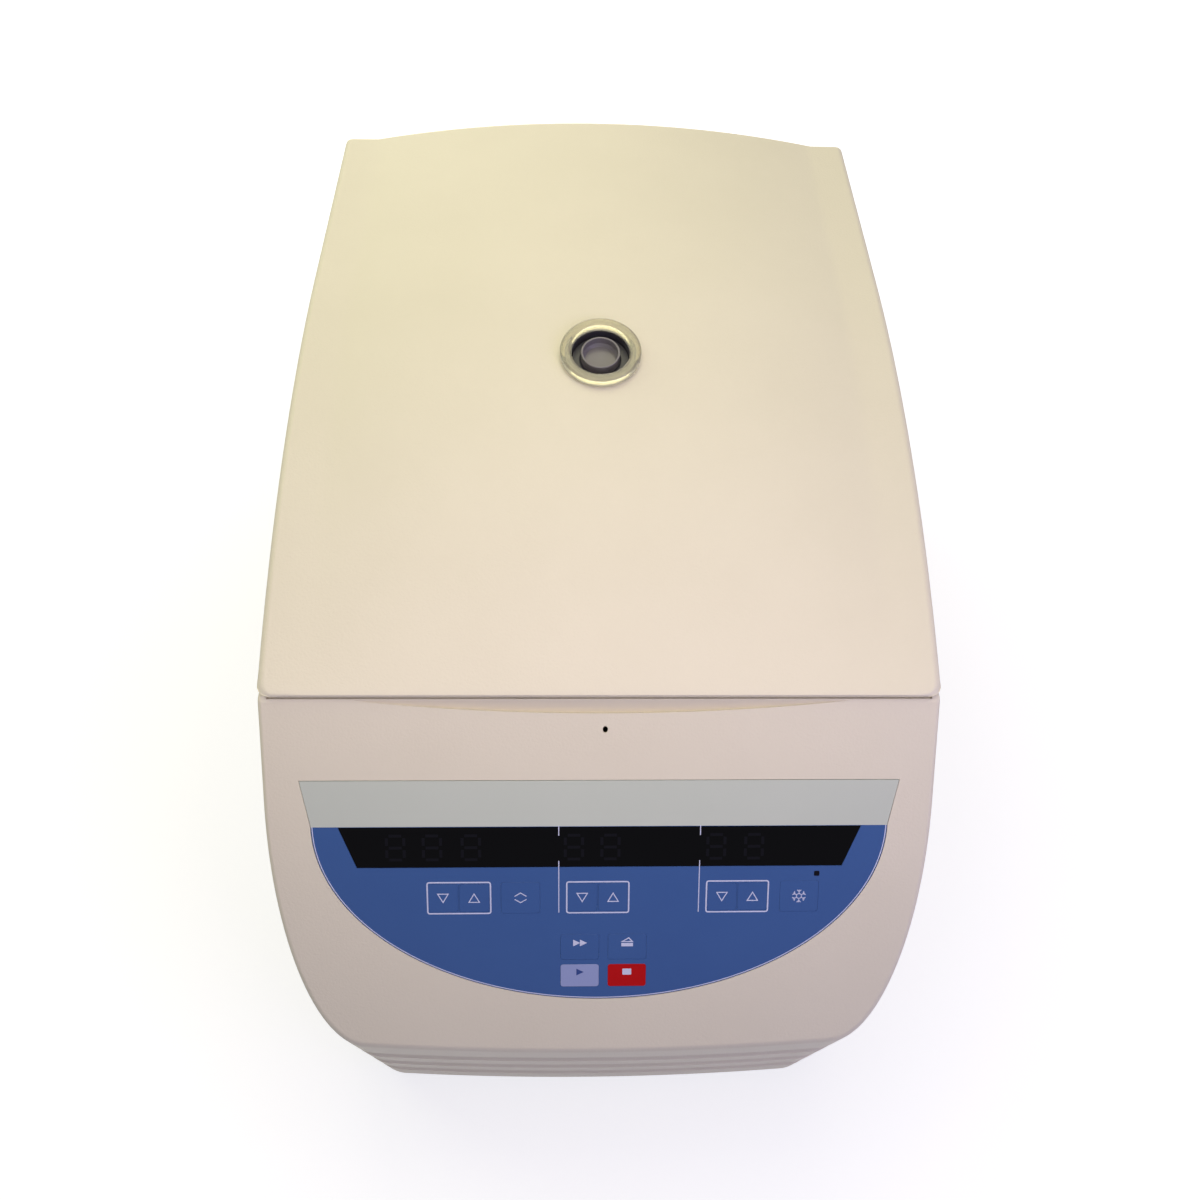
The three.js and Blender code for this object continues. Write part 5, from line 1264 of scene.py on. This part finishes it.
cup_outer = 9.2
cup_wall = 1.0
cup_depth = 6.2
cup_floor = 1.4
cup_rim = 0.4
cup_fillet = 0.8
cup_low = clearance - ledge_drop
cup_top = cup_low + cup_depth
cup_flange = cup_low + ledge_width / 2
cup_profile = [(0, cup_low), (well_inner - clearance, cup_low), (well_inner - clearance, cup_flange),
               (cup_outer + cup_fillet, cup_flange), (cup_outer, cup_flange + cup_fillet),
               (cup_outer, cup_top - cup_rim)]
cup_profile += arc((cup_outer - cup_rim, cup_top - cup_rim), (cup_rim, cup_rim), 0, 90, 4)[1:]
cup_profile += arc((cup_outer - cup_wall + cup_rim, cup_top - cup_rim), (cup_rim, cup_rim), 90, 180, 4)
cup_profile += [(cup_outer - cup_wall, cup_low + 2 * cup_floor),
                (cup_outer - 2 * cup_wall, cup_low + cup_floor),
                (0, cup_low + cup_floor)]
cup = turned_piece("sight_cup", "lid", "window_cup", frosted, cup_profile, sight_place)
# The faces beyond the cup's wall, on the flange, take the dark grey: painted shade in the gap round the cup.
cup.data.materials.append(dark_grey[1])
for face in cup.data.polygons:
    across = sight_place.inverted() @ (face.center / millimetre)
    if across.xy.length > cup_outer:
        face.material_index = 1

# Chamber: a pressed stainless bowl whose rolled flange lies on the deck, with a black rubber seal on the
# flange. Its floor rises in a neck round the drive's spindle.


def rolled_metal(name, code, other_code, roughness, length, width, depth, metallic=1.0):
    """Sheet or turned metal with fine drawn marks, `length` by `width` millimetres, of a depth."""
    material, tree = surface(name)
    place = shade(tree, "ShaderNodeTexCoord").outputs["Object"]
    scale = [1 / (size * millimetre) for size in (width, width, length)]
    stretched = shade(tree, "ShaderNodeMapping", {"Vector": place, "Scale": scale}).outputs[0]
    noise = shade(tree, "ShaderNodeTexNoise", {"Vector": stretched, "Scale": 1.0, "Detail": 3.0})
    marks = noise.outputs["Fac"]
    least_and_most = (roughness - 0.07, roughness + 0.09)
    finished(tree, (code, other_code), pattern(tree, 35, 3), marks, least_and_most, depth,
             {"Metallic": metallic})
    return material


def soft_matt(name, code, other_code, roughness, grain, depth, clouds=12):
    """Rubber, foam or paint: a matt skin with grains of a size and depth."""
    return grained(name, (code, other_code), roughness, (0.08, 0.05), (clouds, 4), (grain, 3, 0.6), depth,
                   {"IOR": 1.5})


# The bowl is brushed up its wall, which draws its highlights out. The seal is dull and takes none.
stainless = "stainless", rolled_metal("brushed stainless steel", "c3c4c5", "cfd0d0", 0.27, 14, 0.25, 0.004)
rubber = "rubber", soft_matt("black rubber", "1b1b1d", "232326", 0.72, 0.4, 0.02)

bowl_radius = 100
bowl_wall = 1.5
bowl_sides = 128
bowl_floor = deck - 107.6
bowl_corner = 14
neck_radius = 20
flange_reach = 12
flange_thickness = 1.2
flange_height = deck + clearance
rotor_axis = Matrix.Translation((0, rotor_y, 0))
bend_centre = bowl_radius - bowl_corner


def bowl_bend(radius):
    """The bowl's foot bend, from the wall to the floor."""
    return arc((bend_centre, bowl_floor + bowl_corner), (radius, radius), 0, -90, 10)


lip_round = 3
neck_round = 3
neck_outer = neck_radius + bowl_wall
neck_top = bowl_floor + bowl_corner / 2
wall_outer = bowl_radius + bowl_wall
flange_top = flange_height + flange_thickness
bowl_profile = arc((bowl_radius + lip_round, flange_top - lip_round), (lip_round, lip_round), 90, 180, 6)
bowl_profile += bowl_bend(bowl_corner)
bowl_profile += [(neck_outer + neck_round, bowl_floor), (neck_outer, bowl_floor + neck_round),
                 (neck_outer, neck_top), (neck_radius, neck_top), (neck_radius, bowl_floor - bowl_wall)]
bowl_profile += bowl_bend(bowl_corner + bowl_wall)[::-1]
bowl_profile += [(wall_outer, flange_height), (wall_outer + flange_reach, flange_height),
                 (wall_outer + flange_reach, flange_top)]
turned_piece("bowl", "cabinet", "chamber_bowl", stainless, bowl_profile, rotor_axis, bowl_sides)

seal_low = deck + flange_thickness + 2 * clearance
seal_height = 3.9
seal_crown = 2
seal_top = seal_low + seal_height
seal_inner = bowl_radius + 3
seal_outer = bowl_radius + 15
seal_middle = (seal_inner + seal_outer) / 2
seal_shoulder = seal_low + seal_crown
seal_profile = [(seal_inner, seal_low), (seal_outer, seal_low), (seal_outer, seal_shoulder)]
seal_profile += arc((seal_middle, seal_top - seal_crown), (seal_crown, seal_crown), 60, 120, 6)
seal_profile += [(seal_inner, seal_shoulder)]
turned_piece("seal", "cabinet", "chamber_seal", rubber, seal_profile, rotor_axis, bowl_sides, 50)

# Pieces whose shape the drawing gives: each is a copy of its node with its edges broken by the tool or the
# mould that makes it.

edge_break = 0.25
least_broken = 35
join_distance = 0.001
flat_angle = math.radians(1)


def joined_up(bm):
    """Joins corners that coincide and faces that lie in one plane, and drops the unused texture places."""
    bmesh.ops.remove_doubles(bm, verts=bm.verts[:], dist=join_distance * millimetre)
    bmesh.ops.dissolve_limit(bm, angle_limit=flat_angle, verts=bm.verts[:], edges=bm.edges[:])
    for loop_layer in list(bm.loops.layers.uv):
        bm.loops.layers.uv.remove(loop_layer)


def refined(node, body, finish, radius=edge_break, segments=2):
    """A copy of a node with its sharp edges rounded, or left as they are with a radius of 0."""
    piece = bpy.data.objects.new(f"{node}_piece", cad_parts[node].data.copy())
    collection.objects.link(piece)
    edited(piece, joined_up)
    if radius:
        rounded_edges(piece, radius, segments, least_broken)
    smooth(piece)
    dressed(piece, finish, body, node)


# Floor, feet and mounts: a zinc-plated steel pan with air slots, four rubber feet, and a motor plate on
# three waisted rubber mounts.

# Bright zinc over rolled sheet: a cool grey with the rolling marks showing through.
zinc_plate = rolled_metal("zinc-plated steel sheet", "a3a7ac", "b3b7bb", 0.38, 6, 2.5, 0.01, 0.9)
zinc_sheet = "steel_sheet", zinc_plate
refined("base_plate", "cabinet", zinc_sheet)
refined("motor_plate", "cabinet", zinc_sheet)
for corner in ("front_left", "front_right", "rear_left", "rear_right"):
    refined(f"foot_{corner}", "cabinet", rubber, 0.6)
for place_name in ("front", "left", "right"):
    refined(f"motor_isolator_{place_name}", "cabinet", rubber)

# Cooling: a black hermetic compressor, an aluminium fin block with its fan, a copper line between them, the
# copper evaporator on the bowl and the foam round it.

# The stoved paint has a soft gloss, the fins show their rolling marks and the drawn copper its long streaks.
# The foam shows the open cells of its cut face.
black_paint = "black_paint", soft_matt("black stoved paint", "17181a", "1f2023", 0.42, 0.8, 0.02)
fin_stock = "fins", rolled_metal("aluminium fin stock", "9aa0a5", "aab0b4", 0.42, 4, 0.8, 0.01, 0.95)
black_moulding = "black_moulding", moulding("black moulding", "17181a", "1d1e20", 0.42, 0.45, 0.015)
copper = "copper", rolled_metal("drawn copper tube", "b56e49", "c98560", 0.3, 20, 0.5, 0.003)
foam = "foam", soft_matt("cut yellow foam", "d6cb9f", "e2d8b2", 0.9, 1.2, 0.35)
refined("compressor", "cabinet", black_paint, 0.5)
refined("condenser", "cabinet", fin_stock, 0.1, 1)
refined("fan_frame", "cabinet", black_moulding)
refined("fan_impeller", "fan", black_moulding, 0.15)
refined("discharge_line", "cabinet", copper, 0)
refined("evaporator_coil", "cabinet", copper, 0)
refined("bowl_insulation", "cabinet", foam, 0.5)

# Drive: a black finned motor can with a stainless spindle, and the anodised aluminium rotor with its spun
# lid and moulded knob.

# Hard anodising over machined alloy: a dark even grey with a silky sheen.
anodised = rolled_metal("hard-anodised aluminium", "6a6f75", "767b81", 0.36, 30, 0.35, 0.004, 0.85)
rotor_alloy = "rotor_alloy", anodised
refined("drive_motor", "cabinet", black_paint, 0.4)
refined("drive_spindle", "rotor", stainless)
refined("rotor", "rotor", rotor_alloy, 0.3)
refined("rotor_lid", "rotor_lid", rotor_alloy, 0.3)
refined("rotor_lid_knob", "rotor_lid", black_moulding, 0.5)

# Electrics: a green control board behind the panel, a power board on the left wall, the inlet and the mains
# switch in the rear wall.

# Solder mask is a lacquer, fairly glossy, with a faint orange-peel skin.
circuit_board = "circuit_board", soft_matt("green solder mask", "1c5a39", "216542", 0.35, 0.8, 0.02, 4)
refined("control_board", "cabinet", circuit_board, 0.1, 1)
refined("power_board", "cabinet", circuit_board, 0.2, 1)
refined("mains_inlet", "cabinet", black_moulding)
refined("switch_frame", "cabinet", black_moulding)
refined("power_rocker", "rocker", black_moulding, 0.4)

# Rear grille: a dark moulded plate with level slats in a plain frame, set flush in the opening of the rear
# wall for the cooling air.

grille_frame = 7
grille_inside = 1.6
grille_edge = 0.4
slat_pitch = 8
slat_gap = 4
gap_rounding = 0.45
grille_left, grille_right, grille_low, grille_high = rear_opening
grille_back = rear - wall - clearance - grille_inside
grille_plan = rectangle(grille_low + clearance, grille_high - clearance,
                        grille_left + clearance, grille_right - clearance)
grille = piece_of("grille", *prism(grille_plan, grille_back, rear - clearance, along_y))
gap_ends = (grille_left + grille_frame, grille_right - grille_frame)
gap_low = grille_low + grille_frame
gaps = []
while gap_low + slat_gap < grille_high - grille_frame:
    outline = rounded_rectangle(gap_low, gap_low + slat_gap, *gap_ends, slat_gap * gap_rounding, 4)
    gaps.append(prism(outline, grille_back - overrun, rear + overrun, along_y))
    gap_low += slat_pitch
cut(grille, *gaps)
rounded_edges(grille, grille_edge)
smooth(grille)
dressed(grille, dark_grey, "cabinet", "rear_grille")

# Lock and hinges: a zinc-plated frame with a stainless hooked shaft under the deck, two stainless strikers
# in the lid's front bar, and two plated brackets whose rod carries the lid's arms.

refined("lock_frame", "cabinet", zinc_sheet)
refined("lock_shaft", "lock", stainless)
for side_name in ("left", "right"):
    refined(f"striker_{side_name}", "lid", stainless, 0.4)
    refined(f"hinge_arm_{side_name}", "lid", zinc_sheet)
    refined(f"hinge_bracket_{side_name}", "cabinet", zinc_sheet)
refined("hinge_rod", "cabinet", stainless)

# Lid lining: a pale grey moulded inner pan whose bead meets the seal of the chamber, with a foam ring
# between it and the lid.

# The pan has a finer skin than the lid, so that it looks smoother.
liner_grey = "liner", moulding("pale grey moulding", "b7b8b6", "bebfbd", 0.5, 0.7, 0.02)
refined("lid_liner", "lid", liner_grey, 0.4)
refined("lid_insulation", "lid", foam, 0.5)

# Fasteners: pan-head screws with a cross recess. They hold the grille, the inlet, the hinge brackets, the
# steel floor and the lid's liner, each turned as it happened to be driven home.

screw_shares = {
    "Head radius": 1,
    "Head height": 0.5,
    "Recess length": 1.1,
    "Recess width": 0.28,
    "Recess depth": 0.32,
}
head_segments = 24
head_rings = 10
driven_seed = 7


def screw_tree():
    """Forms one screw head and sets it on every point, along the point's facing."""
    tree, given = begun("pan head screws", screw_shares)
    radius, height = given["Head radius"], given["Head height"]
    ball = shade(tree, "GeometryNodeMeshUVSphere", {
        "Segments": head_segments,
        "Rings": head_rings,
        "Radius": radius,
    })
    flatness = shade(tree, "ShaderNodeMath", (height, radius), operation="DIVIDE").outputs[0]
    head = shade(tree, "GeometryNodeTransform", {
        "Geometry": ball.outputs["Mesh"],
        "Scale": shade(tree, "ShaderNodeCombineXYZ", (1.0, 1.0, flatness)).outputs[0],
    })
    crossed = shade(tree, "GeometryNodeMeshBoolean", {"Mesh 1": head.outputs[0], "Self Intersection": True},
                    operation="DIFFERENCE", solver="EXACT")
    depth = shade(tree, "ShaderNodeMath", (given["Recess depth"], 2.0), operation="MULTIPLY").outputs[0]
    lift = shade(tree, "ShaderNodeCombineXYZ", {"Z": height}).outputs[0]
    width, length = given["Recess width"], given["Recess length"]
    for across, ahead in ((width, length), (length, width)):
        size = shade(tree, "ShaderNodeCombineXYZ", (across, ahead, depth)).outputs[0]
        recess = shade(tree, "GeometryNodeMeshCube", {"Size": size}).outputs["Mesh"]
        lifted = shade(tree, "GeometryNodeTransform", {"Geometry": recess, "Translation": lift}).outputs[0]
        tree.links.new(lifted, crossed.inputs["Mesh 2"])
    facing = shade(tree, "GeometryNodeInputNamedAttribute", {"Name": "facing"},
                   data_type="FLOAT_VECTOR").outputs[0]
    outward = shade(tree, "FunctionNodeAlignRotationToVector", {"Vector": facing}, axis="Z").outputs[0]
    angle = shade(tree, "FunctionNodeRandomValue", {2: 0.0, 3: math.pi / 2, "Seed": driven_seed},
                  data_type="FLOAT").outputs[1]
    driven = shade(tree, "FunctionNodeAxisAngleToRotation", {"Axis": (0, 0, 1), "Angle": angle}).outputs[0]
    turned_home = shade(tree, "FunctionNodeRotateRotation", {"Rotation": outward, "Rotate By": driven},
                        rotation_space="LOCAL").outputs[0]
    placed = shade(tree, "GeometryNodeInstanceOnPoints", {
        "Points": given["Geometry"],
        "Instance": crossed.outputs["Mesh"],
        "Rotation": turned_home,
    })
    ended(tree, placed.outputs[0], given)
    return tree


screw_heads = screw_tree()


def screws(name, body, finish, radius, facing, places):
    """Screws of one size that all face one way, at places in millimetres."""
    piece = piece_of(name, places, [])
    facings = piece.data.attributes.new("facing", "FLOAT_VECTOR", "POINT")
    facings.data.foreach_set("vector", list(facing) * len(places))
    sizes = {size: radius * share for size, share in screw_shares.items()}
    grown(piece, screw_heads, sizes, finish[1])
    smooth(piece, 40)
    dressed(piece, finish, body)


backwards = (0, 1, 0)
upwards = (0, 0, 1)
downwards = (0, 0, -1)
grille_inset = grille_frame / 2
screws("grille_screws", "cabinet", zinc_sheet, 2.1, backwards, [
    (x, rear - clearance, z)
    for x in (grille_left + grille_inset, grille_right - grille_inset)
    for z in (grille_low + grille_inset, grille_high - grille_inset)
])
inlet_face = rear + clearance + 2.4
inlet_margin = 15.2
screws("inlet_screws", "cabinet", zinc_sheet, 1.2, backwards, [
    (inlet_place[0] + side * inlet_margin, inlet_face, inlet_place[1]) for side in sides
])
bracket_plate = 2.5
bracket_row = rear - 16
bracket_margin = 17.2
screws("bracket_screws", "cabinet", zinc_sheet, 2.4, upwards, [
    (side * hinge_station + other_side * bracket_margin, bracket_row, deck + clearance + bracket_plate)
    for side in sides for other_side in sides
])
floor_underside = foot_rim + 1
floor_margin = 12
floor_rows = (-130, -40, 60, 160)
screws("floor_screws", "cabinet", zinc_sheet, 2.6, downwards, [
    (side * (half_width - floor_margin), y, floor_underside) for side in sides for y in floor_rows
])
liner_margin = 11
liner_rows = (-75, 65, 205)
screws("liner_screws", "lid", ("liner", zinc_plate), 2.2, downwards, [
    (side * (half_width - liner_margin), y, liner_height) for side in sides for y in liner_rows
])
